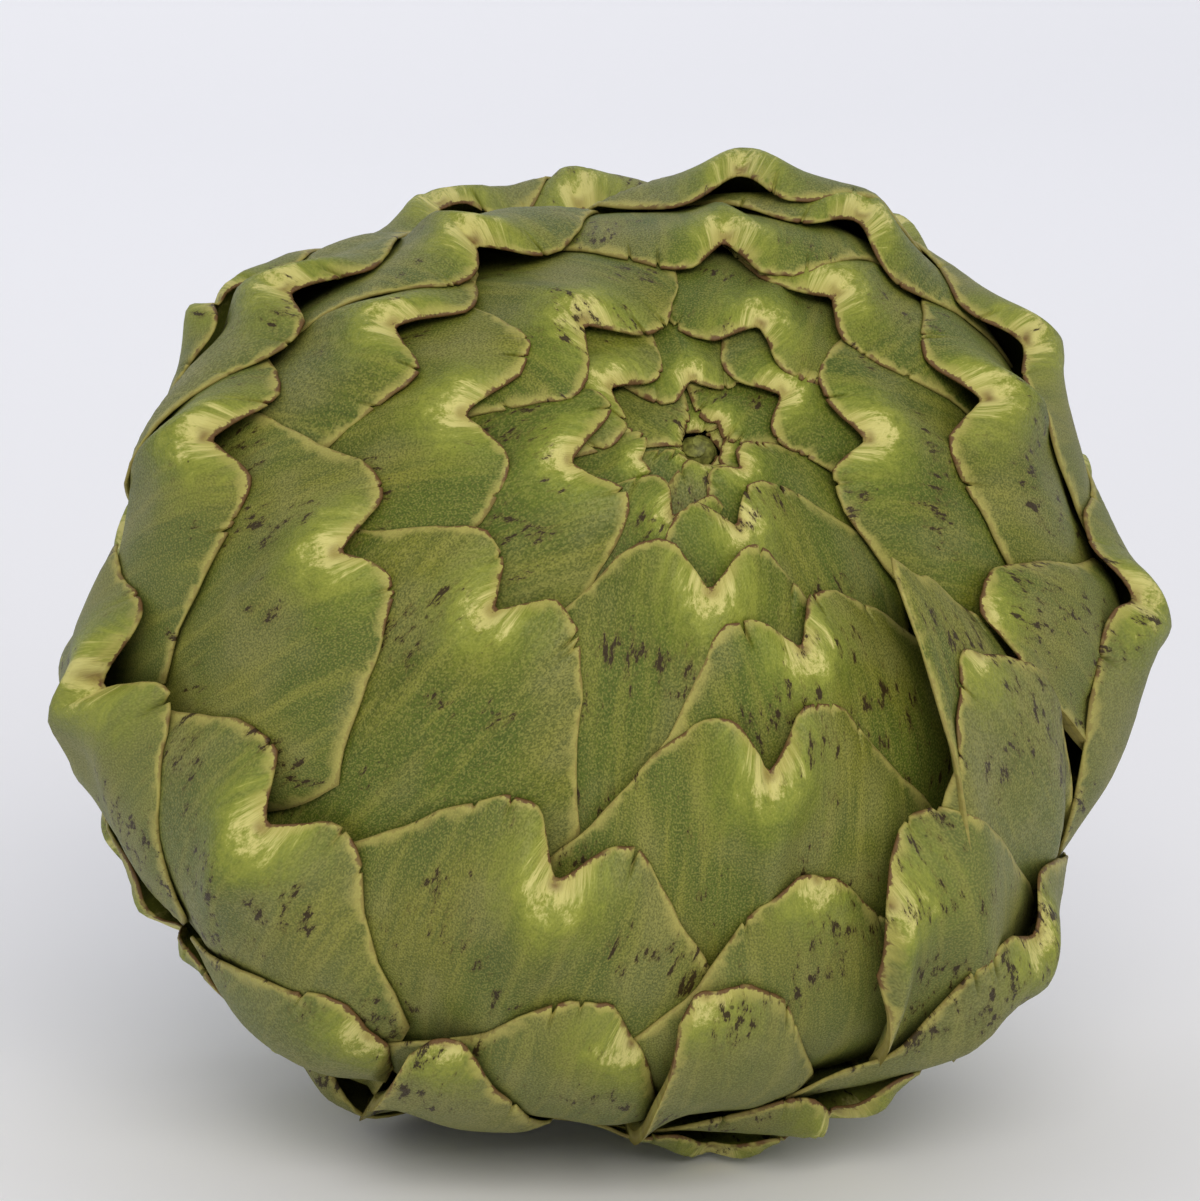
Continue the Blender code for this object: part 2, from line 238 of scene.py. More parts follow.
# Millimetres across the blade and down from where its lobes would be
OUTLINES = {
    22: ((-16.8, 8), (-16.3, 3.7), (-15.3, -1.7), (-14.2, -7), (-13.4, -13), (-12.3, -10.7),
         (-9, -7.4), (-6.3, -7), (-3.3, -2.7), (0.3, 1.7), (1.5, 5), (5, 12), (12, 30)),
    25: ((-12, 2), (-10.3, -2.7), (-9, -4.3), (-5, -4.6), (-1.7, -3), (1.7, 5), (4.3, 13), (9, 22)),
    27: ((-24, 23), (-13.3, 12.5), (-8.3, 6), (-3, 1.7), (-1, 1.3), (3, 4), (9, 12), (24, 30)),
    30: ((-24, 16), (-18.3, 7), (-12.3, 2), (-5.3, -0.9), (-3.7, -0.7), (-2.3, 3), (0.3, 5.7),
         (3.2, 10.7), (4.2, 20)),
    32: ((-24, 20), (-16.7, 11.7), (-11.7, 4.7), (-8.7, 1.7), (-3.3, 0.3), (-1, 4.7),
         (1.7, 7.7), (4, 14), (9, 30)),
    35: ((-12, 16), (-11, 12.3), (-9.7, 9), (-8, 5), (-2.7, 1), (-1, 0.3), (3, 5), (6.7, 11),
         (10.7, 19.3), (18, 34)),
    37: ((-24, 20), (-15, 8.7), (-8.3, 3), (-4.7, 2), (-1.7, 4.7), (0.3, 5), (1.7, 6.7),
         (2.6, 16)),
    38: ((-24, 36), (-11.7, 19.7), (-7, 14.3), (-2, 10.2), (0.3, 9.3), (2.2, 10.4), (4.3, 14.7),
         (5.8, 10.4), (8, 9), (14, 10.7), (24, 20)),
    40: ((-6.4, 9), (-6, 5), (-5.3, 3.6), (0.7, 2), (4.7, 5), (12, 21), (20, 38)),
    42: ((-14, 6), (-5.7, 0.3), (-2.2, -1.4), (0.2, -0.6), (1.2, 4), (1.7, 10), (2.2, 6.3),
         (5, 0.7), (6.7, -0.3), (10.3, 2), (15, 5.7), (17.7, 11), (24, 22)),
    43: ((-24, 22), (-10, 8), (-5, 4), (-2.3, 3.3), (0.3, 4), (3.7, 8.5), (5.3, 6), (8, 5),
         (12, 8), (24, 26)),
    45: ((-1.6, 5), (-1.2, 0.5), (2.3, -2), (5.7, 0.3), (11.7, 7.3), (18, 21.7), (24, 38)),
}

# Those that have a raised notch all the same, and where the sinus of such a bract is
PLEATED_OUTLINES = (35, 38, 42, 43)
SINUS_AT = {22: 6, 25: -8, 27: 0.5, 30: -3, 32: 0, 38: 4.3, 40: -4, 42: 1.7, 43: 3.7, 45: 1}

# %% [markdown]
# What differs from bract to bract is drawn from random generators with fixed seeds, so each
# run gives the same head. Some bracts are shorter, and hide under the others in this view.
# Some, at the sides and below, were handled more and have more scuffs.

# %% What each bract knows
SHORTER = {34: 30, 36: 6, 47: 12, 48: 6, 50: 14, 51: 10, 53: 12, 55: 14, 58: 9}
WORN = (14, 22, 25, 29, 30, 32, 35, 38, 40, 43, 45)
WORN_SHARE = 0.4
FIRST_DETAIL_SEED = 1000


class Bract:
    """Where one bract sits, how large it is and how it differs from the others."""

    def __init__(self, order, chance):
        turn, drop = PUSHED.get(order, (0, 0))
        self.order = order
        self.azimuth = math.radians(SPIRAL_START + SPIRAL_TURN * order + turn)
        self.tip = math.radians(tip_angle(order) + drop)
        self.size = bract_size(order) * (1 + SIZE_SPREAD * chance.uniform(-1, 1))
        self.lean = math.radians(LEANING.get(order, 0) + LEAN_SPREAD * chance.uniform(-1, 1))
        notch_shift = OFF_CENTRE.get(order, 0) + NOTCH_SPREAD * chance.uniform(-1, 1)
        self.lobe_drop = LOBE_SPREAD * chance.uniform(-1, 1)
        self.tip = max(self.tip, OPENING)
        self.length = BRACT_LENGTH * self.size
        self.half_width = BRACT_HALF_WIDTH * self.size
        self.middle = self.tip + self.length / 2 / MEAN_RADIUS
        self.notch_at = SINUS_AT.get(order, notch_shift / MM) * MM * self.size
        self.shorter = SHORTER.get(order, 0) * MM
        self.outline = np.array(OUTLINES.get(order, ())) * MM
        self.left_side, self.right_side = -self.half_width, self.half_width
        if len(self.outline):
            self.left_side, self.right_side = self.outline[0, 0], self.outline[-1, 0]
        self.pleated = not len(self.outline) or order in PLEATED_OUTLINES
        self.vary(random.Random(FIRST_DETAIL_SEED + order))

    def vary(self, chance):
        """Details that only the fine surface shows."""
        self.left_lobe = LOBE_OFFSET * self.size * (1 + LOBE_VARIETY * chance.uniform(-1, 1))
        self.right_lobe = LOBE_OFFSET * self.size * (1 + LOBE_VARIETY * chance.uniform(-1, 1))
        self.notch_depth = NOTCH_DEPTH * self.size * (1 + LOBE_VARIETY * chance.uniform(-1, 1))
        self.notch_depth *= rise(self.order, FIRST_NOTCH, LAST_SHALLOW_NOTCH)
        self.left_bay = chance.random()
        self.right_bay = chance.random()
        self.phases = [chance.uniform(0, 2 * math.pi) for wave in WAVE_LENGTHS]
        self.splits = []
        for number in range(SPLITS):
            side = chance.choice((-1, 1))
            place = chance.uniform(NEAREST_SPLIT, 1) * SPLIT_REACH * self.size
            deep = SPLIT_DEPTHS[0] + (SPLIT_DEPTHS[1] - SPLIT_DEPTHS[0]) * chance.random() ** 2
            self.splits.append((self.notch_at + side * place, deep * softened(self.size)))
        self.wear = chance.random() * (1 - WORN_SHARE) + WORN_SHARE * (self.order in WORN)
        self.seed = chance.uniform(0, 100)


# %% [markdown]
# A flat blade is wound on the head by turning its middle to the right direction, and walking
# from there along great circles. The result is a direction from the middle of the head for
# each point of the blade. How far out the point lies comes later.

# %% From the flat blade to directions
def blade_ways(bract, across, down):
    """Unit vectors of points on the blade, in metres across it and down from its lobes."""
    narrowing = ROOT_NARROWING * rise(down / bract.length, NARROWING_START, 1)
    across = across * (1 - narrowing)
    up = bract.length / 2 - down
    turned_across = across * math.cos(bract.lean) + up * math.sin(bract.lean)
    turned_up = up * math.cos(bract.lean) - across * math.sin(bract.lean)
    sin_a, cos_a = math.sin(bract.azimuth), math.cos(bract.azimuth)
    sin_m, cos_m = math.sin(bract.middle), math.cos(bract.middle)
    outward = np.array((sin_m * sin_a, -sin_m * cos_a, cos_m))
    sideways = np.array((cos_a, sin_a, 0))
    upward = np.array((-cos_m * sin_a, cos_m * cos_a, sin_m))
    reach = np.hypot(turned_across, turned_up)[..., None]
    heading = turned_across[..., None] * sideways + turned_up[..., None] * upward
    angle = reach / MEAN_RADIUS
    return outward * np.cos(angle) + heading / np.maximum(reach, MM * MM) * np.sin(angle)


def blade_middle(bract):
    """Direction of the middle of the blade."""
    return blade_ways(bract, np.array(0.0), np.array(bract.length / 2))


# %% [markdown]
# The edge is a depth below the lobes, for each place across the blade: the notch between the
# lobes is deepest at its sinus, and the shoulders slope down beside them. Some notches are
# round bays and some are sharp.

# %% The edge of a blade
def edge_depth(bract, across):
    """How far the edge lies below the lobes, without its splits."""
    ragged = sum(height * np.sin(2 * math.pi * across / length + phase)
                 for length, height, phase in zip(WAVE_LENGTHS, WAVE_HEIGHTS, bract.phases))
    if len(bract.outline):
        near = [np.interp(across + shift, *bract.outline.T) for shift in CORNER_ROUNDING]
        return np.mean(near, 0) + bract.shorter + ragged * bract.size
    offset = across - bract.notch_at
    lobe = np.where(offset < 0, bract.left_lobe, bract.right_lobe)
    distance = np.abs(offset)
    side_drop = np.where(offset > 0, bract.lobe_drop, -bract.lobe_drop)
    side_drop = side_drop * rise(distance, 0, lobe.max())
    share = np.minimum(distance / lobe, 1)
    bay = np.where(offset < 0, bract.left_bay, bract.right_bay)
    wave = bay * (0.5 + 0.5 * np.cos(math.pi * share))
    wave = wave + (1 - bay) * (1 - share) ** NOTCH_SHARPNESS
    sinus = SINUS_DEPTH * bract.size * np.exp(-distance / SINUS_WIDTH) * (bract.notch_depth > 0)
    past = np.maximum(distance - lobe - LOBE_FLAT * bract.size, 0)
    rounding = SHOULDER_ROUNDING * bract.size
    shoulder = SHOULDER_SLOPE * (np.hypot(past, rounding) - rounding)
    dropped = side_drop + bract.shorter + ragged * bract.size
    return dropped + bract.notch_depth * wave + sinus + shoulder


def split_depth(bract, across):
    """How deep the splits cut the edge."""
    depth = np.zeros_like(across)
    for at, deep in bract.splits:
        share = np.clip(1 - np.abs(across - at) / SPLIT_HALF_WIDTH, 0, 1)
        depth = np.maximum(depth, deep * share)
    return depth


# %% [markdown]
# The pleat at the notch is the mark of this variety. The blade swells to a pillow behind the
# notch, then bends steeply down to the sinus, which still stands off the bract below, so that
# a dark hole opens under it. The lobes at its sides curl down and touch. The pleat is a bump
# added on top of the draped blade, highest a few millimetres away from the edge.

# %% The raised notch
INNER_NOTCH_LIFT = 2.1 * MM
OUTER_NOTCH_LIFT = 3.9 * MM
FIRST_LIFTED_BRACT = 10
LAST_LIFTED_BRACT = 30
PLEAT_HALF_WIDTH = 3.6 * MM
PLEAT_WIDENING = 0.3
PLEAT_CREST = 4.5 * MM
PLEAT_LENGTH = 19 * MM
RIM_TUCK = 0.42

# Bracts whose notch is raised more than the others' notches
PLEAT_GAINS = {17: 1.7, 42: 1.25}


def notch_lift(bract):
    gain = rise(bract.order, FIRST_LIFTED_BRACT, LAST_LIFTED_BRACT)
    lift = INNER_NOTCH_LIFT + (OUTER_NOTCH_LIFT - INNER_NOTCH_LIFT) * gain
    return lift * bract.size * bract.pleated * PLEAT_GAINS.get(bract.order, 1)


def pleat(bract, across, from_edge):
    """Height of the pleat above the draped blade."""
    width = (PLEAT_HALF_WIDTH + PLEAT_WIDENING * from_edge) * bract.size ** 0.5
    offset = (across - bract.notch_at) / width
    along = 1 - rise(from_edge, PLEAT_CREST * bract.size, PLEAT_LENGTH * bract.size)
    bank = 1 - RIM_TUCK * (1 - rise(from_edge, 0, PLEAT_CREST * bract.size))
    return notch_lift(bract) * np.exp(-offset ** 2) * along * bank


# %% [markdown]
# The body of a blade is a low pillow too, and a few blades have a side that curled up as it
# dried. Both are heights that are added to the blade.

# %% The crown of the body and standing sides
CROWN_HEIGHT = 1.8 * MM
CROWN_START = 8 * MM
CROWN_END = 15 * MM
CROWN_FADE = 2.4
SIZE_POWER = 0.7

# Millimetres that the left side of a blade stands up
STANDING_SIDES = {22: 7, 25: 1.5, 30: 1, 35: 1.5, 40: 2, 45: 3}
STANDING_WIDTH = 5 * MM


def crown(bract, across, from_edge):
    """Height of the pillow-like body above an even blade."""
    full = CROWN_HEIGHT * bract.size ** SIZE_POWER * (1 - (across / bract.half_width) ** 2)
    edge = np.clip(1 - from_edge / (CROWN_START * bract.size), 0, 1) ** 2
    gone = rise(from_edge, CROWN_END * bract.size, CROWN_FADE * CROWN_END * bract.size)
    return full * (1 - edge) * (1 - gone)


def standing_side(bract, across):
    """Height of a side that stands up from the bracts below."""
    lift = STANDING_SIDES.get(bract.order, 0) * MM
    return lift * np.exp(-(across - bract.left_side) / STANDING_WIDTH)


# %% [markdown]
# Each bract is pressed on what grew before it, from the tip outwards. Rays towards the
# middle of the head find how high the bracts below stand. Where there are none, the fleshy
# core of the head carries the blade. The blade starts from a formula height, as the solid one
# does: the further a point is from the tip of its bract, the deeper it lies.

# %% What a blade lies on
FINE_LIFT = 0.4 * MM
OVERLAP_SLOPE = 0.14
CORE_DEPTH = 6 * MM
RAY_START = 120 * MM


def height_below(tree, ways):
    """Distance from the middle to the outermost surface already there."""
    found = np.full(ways.shape[:-1], np.nan)
    for place in np.ndindex(found.shape):
        way = Vector(ways[place])
        hit = tree.ray_cast(way * RAY_START, -way) if tree else (None,)
        if hit[0] is not None:
            found[place] = RAY_START - hit[3]
    return np.where(np.isnan(found), head_surface(ways) - CORE_DEPTH, found)


def formula_height(bract, ways):
    angle = np.arccos(np.clip(ways[..., 2], -1, 1))
    return head_surface(ways) + FINE_LIFT - OVERLAP_SLOPE * MEAN_RADIUS * (angle - bract.tip)


# %% [markdown]
# The blade may not go below what carries it, and near its edges is pulled down onto it. A few
# rounds of blurring and lifting make it as smooth as a stiff leathery blade. A cloth simulation
# could do this too, but seventy-five layers of it would be slow and hard to keep apart.

# %% Draping
DRAPE_CELLS = 40
DRAPE_MARGIN = 3 * MM
EDGE_LAYER = 0.42 * MM
BODY_LAYER = 1.0 * MM
LAYER_GAP = 0.08 * MM
HUG_REACH = 10 * MM
END_NEARNESS = 0.75
LEAST_HUG = 1.0 * MM
MOST_HUG = 6 * MM
FIRST_HUGGING_BRACT = 2
LAST_HUGGING_BRACT = 16
DRAPE_ROUNDS = 26


def blur(field):
    padded = np.pad(field, 1, mode="edge")
    rows = padded[:-2] + 2 * padded[1:-1] + padded[2:]
    return (rows[:, :-2] + 2 * rows[:, 1:-1] + rows[:, 2:]) / 16


def side_distance(bract, across):
    return np.minimum(across - bract.left_side, bract.right_side - across)


def drape(bract, tree):
    """How far the blade is pushed out or pulled in from its formula height, on a grid."""
    across = np.linspace(bract.left_side, bract.right_side, DRAPE_CELLS + 1)
    down = np.linspace(-DRAPE_MARGIN, bract.length, DRAPE_CELLS + 1)
    across, down = np.meshgrid(across, down)
    ways = blade_ways(bract, across, down)
    from_edge = down - edge_depth(bract, across)
    nearest = np.minimum(from_edge * END_NEARNESS, side_distance(bract, across))
    nearest = np.maximum(nearest, 0)
    layer = EDGE_LAYER + (BODY_LAYER - EDGE_LAYER) * rise(nearest, 0, HUG_REACH)
    needed = height_below(tree, ways) + layer + LAYER_GAP
    needed -= formula_height(bract, ways) + crown(bract, across, from_edge)
    hug = np.clip(1 - nearest / (HUG_REACH * softened(bract.size)), 0, 1) ** 2
    most = LEAST_HUG + (MOST_HUG - LEAST_HUG) * rise(
        bract.order, FIRST_HUGGING_BRACT, LAST_HUGGING_BRACT)
    pulled = np.maximum(needed, -most) * hug
    offset = np.maximum(pulled, needed)
    for number in range(DRAPE_ROUNDS):
        offset = np.maximum(blur(offset), needed)
    return blur(blur(offset))


# %% [markdown]
# The drape is known on a grid, and the blade's own points lie between the grid's points.
# Reading it by straight lines would leave creases that show in the light, so each point is a
# smooth mix of nine neighbours, which is called a quadratic B-spline.

# %% Reading the drape
def spline_share(past, step):
    past = np.clip(past, -0.5, 0.5)
    if step == 0:
        return 0.75 - past ** 2
    return 0.5 * (0.5 + step * past) ** 2


def read_drape(bract, offset, across, down):
    """The drape between its grid points."""
    width = bract.right_side - bract.left_side
    column = (across - bract.left_side) / width * DRAPE_CELLS
    row = (down + DRAPE_MARGIN) / (bract.length + DRAPE_MARGIN) * DRAPE_CELLS
    total = np.zeros(np.broadcast(column, row).shape)
    near_column = np.clip(np.round(column), 0, DRAPE_CELLS).astype(int)
    near_row = np.clip(np.round(row), 0, DRAPE_CELLS).astype(int)
    for step_row in (-1, 0, 1):
        for step_column in (-1, 0, 1):
            share = (spline_share(row - near_row, step_row)
                     * spline_share(column - near_column, step_column))
            at_row = np.clip(near_row + step_row, 0, DRAPE_CELLS)
            at_column = np.clip(near_column + step_column, 0, DRAPE_CELLS)
            total = total + share * offset[at_row, at_column]
    return total


# %% [markdown]
# Where the head lies, its weight presses the bracts flat on the table, one on another.

# %% Bracts on the table
FLOOR_GAP = 0.1 * MM
FLOOR_LAYER_SLOPE = 0.05


def press_on_floor(ways, distance, down):
    """Keeps a blade above the table, inner layers a little higher than outer ones."""
    fall = (ways @ HEAD_TURN.T)[..., 2]
    lowest = FLOOR_GAP + FLOOR_LAYER_SLOPE * np.maximum(down, 0)
    room = (MIDDLE[2] - lowest) / np.maximum(-fall, MM)
    return np.where(fall < 0, np.minimum(distance, room), distance)


# %% [markdown]
# The blade becomes a net of points. Columns of them are closest at the notch and at each
# split, and rows at the edge. The points also carry what the material needs to know, as
# numbers: how far the edge is, where the notch is, and how this bract differs from the others.
# Distances above the sinus count for less, so that the pale fan reaches up the lobes.

# %% The points of a blade
ROWS = 24
ROW_CROWDING = 1.9
COLUMNS = 44
COLUMN_CROWDING = 0.5
SPLIT_COLUMNS = (-1, -0.45, 0, 0.45, 1)
EDGE_THICKNESS = 0.38 * MM
ROOT_THICKNESS = 1.6 * MM
THICKENING = 16 * MM
EDGE_ROUNDING = 0.12 * MM
EDGE_ROUNDING_REACH = 0.3 * MM
EDGE_SAMPLES = 90
SPLIT_RIM_SHARE = 0.3
ABOVE_SINUS_SHARE = 0.6


def column_places(bract):
    """Where the columns of points lie across the blade."""
    even = np.linspace(-1, 1, COLUMNS)
    crowded = even * (1 - COLUMN_CROWDING + COLUMN_CROWDING * np.abs(even))
    reach = np.where(crowded < 0, bract.notch_at - bract.left_side,
                     bract.right_side - bract.notch_at)
    places = [bract.notch_at + crowded * reach]
    for at, deep in bract.splits:
        places.append(at + SPLIT_HALF_WIDTH * np.array(SPLIT_COLUMNS))
    places = np.sort(np.concatenate(places))
    return np.clip(places, bract.left_side, bract.right_side)


def edge_distance(bract, across, down):
    """Distance of points on the flat blade to its outline."""
    rim_across = np.linspace(bract.left_side, bract.right_side, EDGE_SAMPLES)
    rim_down = edge_depth(bract, rim_across)
    apart = np.hypot(across[..., None] - rim_across, down[..., None] - rim_down)
    return np.minimum(apart.min(-1), side_distance(bract, across))


def shape_blade(bract, tree):
    """Outer and inner points of the blade, and the numbers for its material."""
    across = column_places(bract)[None, :]
    edge = edge_depth(bract, across)
    step = np.linspace(0, 1, ROWS)[:, None] ** ROW_CROWDING
    from_edge = step * (bract.length - edge)
    split = split_depth(bract, across) * (1 - rise(from_edge, 0, SPLIT_FADE))
    down = edge + from_edge + split
    across = across + np.zeros_like(down)
    ways = blade_ways(bract, across, down)
    distance = formula_height(bract, ways) + read_drape(bract, drape(bract, tree), across, down)
    distance = distance + crown(bract, across, from_edge) + pleat(bract, across, from_edge)
    distance = distance + standing_side(bract, across)
    distance = press_on_floor(ways, distance, down)
    thickness = EDGE_THICKNESS + (ROOT_THICKNESS - EDGE_THICKNESS) * rise(
        from_edge, 0, THICKENING)
    rounding = EDGE_ROUNDING * (1 - rise(from_edge, 0, EDGE_ROUNDING_REACH))
    outer = ways * (distance - rounding)[..., None]
    inner = ways * (distance - thickness)[..., None]
    rim_distance = np.minimum(edge_distance(bract, across, down),
                              from_edge + split * SPLIT_RIM_SHARE)
    return outer, inner, point_numbers(bract, across, down, rim_distance)


def point_numbers(bract, across, down, rim_distance):
    """Numbers for the material, by name. Distances are in millimetres."""
    same = np.ones_like(down)
    beside_sinus = (across - bract.notch_at) / MM
    below_sinus = (down - edge_depth(bract, np.array(bract.notch_at))) / MM
    below_sinus = np.where(below_sinus < 0, ABOVE_SINUS_SHARE, 1) * below_sinus
    from_sinus = np.stack((beside_sinus, below_sinus, 0 * same), -1)
    return {
        "blade_place": np.stack((across / MM, down / MM, bract.seed * same), -1),
        "from_sinus": from_sinus / bract.size ** SIZE_POWER,
        "character": np.stack((bract.wear * same, bract.order * same, 0 * same), -1),
        "rim_distance": rim_distance / MM,
    }


# %% [markdown]
# A blade with no thickness would look like paper, and break in a fine model. So it becomes a
# closed shell: an outer face, an inner face and a narrow rim between them.

# %% From points to a closed shell
def border(rows, columns):
    """Grid places round the border, in order."""
    top = [(0, column) for column in range(columns)]
    right = [(row, columns - 1) for row in range(1, rows)]
    bottom = [(rows - 1, column) for column in range(columns - 2, -1, -1)]
    left = [(row, 0) for row in range(rows - 2, 0, -1)]
    return np.array(top + right + bottom + left)


def grid_faces(rows, columns):
    row, column = np.meshgrid(np.arange(rows - 1), np.arange(columns - 1), indexing="ij")
    corner = (row * columns + column).ravel()
    return np.stack((corner, corner + columns, corner + columns + 1, corner + 1), -1)


def shell_from(outer, inner, numbers):
    """Points, faces and point numbers of the closed shell."""
    rows, columns = outer.shape[:2]
    count = rows * columns
    ring = border(rows, columns)
    ring_index = ring[:, 0] * columns + ring[:, 1]
    outer_points = outer.reshape(-1, 3)
    inner_points = inner.reshape(-1, 3)
    middle = (outer_points[ring_index] + inner_points[ring_index]) / 2
    points = np.concatenate((outer_points, inner_points, middle))
    front = grid_faces(rows, columns)
    back = front[:, ::-1] + count
    here = np.arange(len(ring))
    after = np.roll(here, -1)
    rim = 2 * count + here
    rim_after = 2 * count + after
    upper = np.stack((ring_index[after], rim_after, rim, ring_index[here]), -1)
    lower = np.stack((rim_after, ring_index[after] + count, ring_index[here] + count, rim), -1)
    faces = np.concatenate((front, back, upper, lower))
    spread = {}
    for name, values in numbers.items():
        flat = values.reshape(count, -1)
        spread[name] = np.concatenate((flat, flat, flat[ring_index]))
    return points, faces, spread


# %% [markdown]
# Now all bracts are made, the innermost first. Those on which a new bract can lie are
# gathered in a search tree for the rays: only outer faces count, and only of bracts on the
# same side of the head.

# %% Making the bracts
NEIGHBOUR_REACH = math.cos(math.radians(80))


def neighbour_tree(made, bract):
    """A search tree of the outer faces round the place of a new bract."""
    toward = blade_middle(bract)
    points, faces, count = [], [], 0
    for placed, outer in made:
        if placed @ toward < NEIGHBOUR_REACH:
            continue
        points.append(outer.reshape(-1, 3))
        faces.append(grid_faces(*outer.shape[:2]) + count)
        count += points[-1].shape[0]
    if not points:
        return None
    return BVHTree.FromPolygons(np.concatenate(points).tolist(), np.concatenate(faces).tolist())


# The first seed is also that of the solid bracts
chance = random.Random(12)
tip_chance = random.Random(7)
made = []
shells = {}
for order in range(FIRST_FINE_BRACT, LAST_BRACT + 1):
    bract = Bract(order, chance if order >= FIRST_BRACT else tip_chance)
    outer, inner, numbers = shape_blade(bract, neighbour_tree(made, bract))
    made.append((blade_middle(bract), outer))
    shells[order] = shell_from(outer, inner, numbers)
print("bracts:", len(shells), "faces each:", len(shells[0][1]))


# %% [markdown]
# Bracts of one region are joined in one object, which keeps the scene light.
# The numbers of their points become attributes of the mesh, which a material can read.

# %% Joining the shells into pieces
def mesh_of(name, parts):
    points, faces, numbers, count = [], [], {}, 0
    for shell_points, shell_faces, shell_numbers in parts:
        points.append(to_world(shell_points))
        faces.append(shell_faces + count)
        count += len(shell_points)
        for key, values in shell_numbers.items():
            numbers.setdefault(key, []).append(values)
    points = np.concatenate(points)
    faces = np.concatenate(faces)
    mesh = bpy.data.meshes.new(name)
    mesh.from_pydata(points.tolist(), [], faces.tolist())
    for key, values in numbers.items():
        values = np.concatenate(values).astype(np.float32)
        kind = "FLOAT" if values.shape[1] == 1 else "FLOAT_VECTOR"
        target = mesh.attributes.new(key, kind, "POINT")
        target.data.foreach_set("value" if kind == "FLOAT" else "vector", values.ravel())
    mesh.shade_smooth()
    return mesh


def make_piece(name, mesh, node):
    piece = bpy.data.objects.new(name, mesh)
    bpy.context.scene.collection.objects.link(piece)
    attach(piece, "root")
    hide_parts(node)
    print(name, "faces:", len(mesh.polygons))
    return piece


REGIONS = {
    "bracts_at_tip": range(FIRST_FINE_BRACT, 13),
    "bracts_inner": range(13, 28),
    "bracts_outer": range(28, 45),
    "bracts_base": range(45, LAST_BRACT + 1),
}
pieces = {}
for name, orders in REGIONS.items():
    mesh = mesh_of(name, [shells[order] for order in orders])
    pieces[name] = make_piece(name, mesh, "bract_head")

# %% [markdown]
# Between the innermost bracts sits the last bud: a few tiny scales wound round each other.
# A dome whose radius steps along a spiral reads as such a winding.

# %% The bud in the middle
BUD_RADIUS = 2.0 * MM
BUD_HEIGHT = 2.8 * MM
BUD_FOOT = HEAD_HALF_LENGTH - 2.0 * MM
BUD_STEP = 0.16
BUD_STEP_MIDDLE = 0.3
BUD_TOP_STEP = 0.1
BUD_SCALES = 3
BUD_TWIST = 1.6


def smooth_mesh(name, bm):
    """Turns a working mesh into a smooth-shaded one, and frees it."""
    mesh = bpy.data.meshes.new(name)
    bm.to_mesh(mesh)
    bm.free()
    mesh.shade_smooth()
    return mesh


def put_on_axis(mesh):
    """Moves a mesh drawn round +Z to the head's axis."""
    turn = Matrix(HEAD_TURN.tolist()).to_4x4()
    mesh.transform(Matrix.Translation(Vector(MIDDLE)) @ turn)


def make_bud():
    bm = bmesh.new()
    bmesh.ops.create_uvsphere(bm, u_segments=96, v_segments=64, radius=1)
    for corner in bm.verts:
        way = corner.co.normalized()
        turn = math.atan2(way.y, way.x) / (2 * math.pi)
        fall = math.acos(max(min(way.z, 1), -1)) / math.pi
        wound = (BUD_SCALES * turn + BUD_TWIST * fall * BUD_SCALES) % 1
        swell = 1 + BUD_STEP * (wound ** 3 - BUD_STEP_MIDDLE)
        height = BUD_HEIGHT * (1 - BUD_TOP_STEP + BUD_TOP_STEP * swell)
        corner.co = Vector((way.x * BUD_RADIUS * swell, way.y * BUD_RADIUS * swell,
                            BUD_FOOT + way.z * height))
    mesh = smooth_mesh("bud", bm)
    put_on_axis(mesh)
    return mesh


pieces["bud"] = make_piece("bud", make_bud(), "bract_head")

# %% [markdown]
# All bracts grow out of the fleshy base. It shows only round the stem, where it swells to
# meet it, and as the dark ground of the gaps between bracts. A ball is pushed to a few
# millimetres under the head's outside.

# %% The fleshy base
BASE_DEPTH = 9 * MM
BASE_DEPTH_AT_STEM = 4.5 * MM
BASE_SWELLING = (math.cos(math.radians(42)), math.cos(math.radians(16)))


def make_base():
    bm = bmesh.new()
    bmesh.ops.create_uvsphere(bm, u_segments=128, v_segments=96, radius=1)
    for corner in bm.verts:
        way = np.array(corner.co.normalized())
        swelling = rise(-way[2], *BASE_SWELLING)
        depth = BASE_DEPTH + (BASE_DEPTH_AT_STEM - BASE_DEPTH) * swelling
        distance = np.array(head_surface(way) - depth)
        corner.co = Vector(to_world(way * press_on_floor(way, distance, BASE_DEPTH)))
    return smooth_mesh("fleshy_base", bm)


pieces["fleshy_base"] = make_piece("fleshy_base", make_base(), "bract_head")

# %% [markdown]
# The stem was cut square with a knife. Its skin has low ribs with fine fibres between them,
# and the cut shows a pale pith inside a ring of greener, tougher rind.

# %% The outline of the stem
STEM_RADIUS = 9.5 * MM
STEM_TOP = 45 * MM
STEM_RIBS = 9
RIB_HEIGHT = 0.6 * MM
STEM_CLEARANCE = 0.1 * MM
STEM_SIDES = 216
STEM_ROWS = 40
FIBRE_HEIGHT = 0.08 * MM
FIBRES = 54
PITH_DIP = 0.7 * MM
PITH_EDGE = (0.2, 0.75)
CUT_RINGS = 22

# The corner of the cut: share of the radius and millimetres from the cut
CUT_CORNER = ((1, 0.25), (0.985, 0.06), (0.96, 0))
INNER_END_SHARE = 0.02


def stem_end():
    """Distance from the middle of the head to the cut, just off the table."""
    rim = (STEM_RADIUS + RIB_HEIGHT) * math.cos(AXIS_RISE) + STEM_CLEARANCE
    return (middle_height() - rim) / math.sin(AXIS_RISE)


def stem_radius(angle):
    ribs = RIB_HEIGHT * math.cos(STEM_RIBS * angle)
    fibres = FIBRE_HEIGHT * math.cos(FIBRES * angle + 2 * math.cos(3 * angle))
    return STEM_RADIUS + ribs + fibres


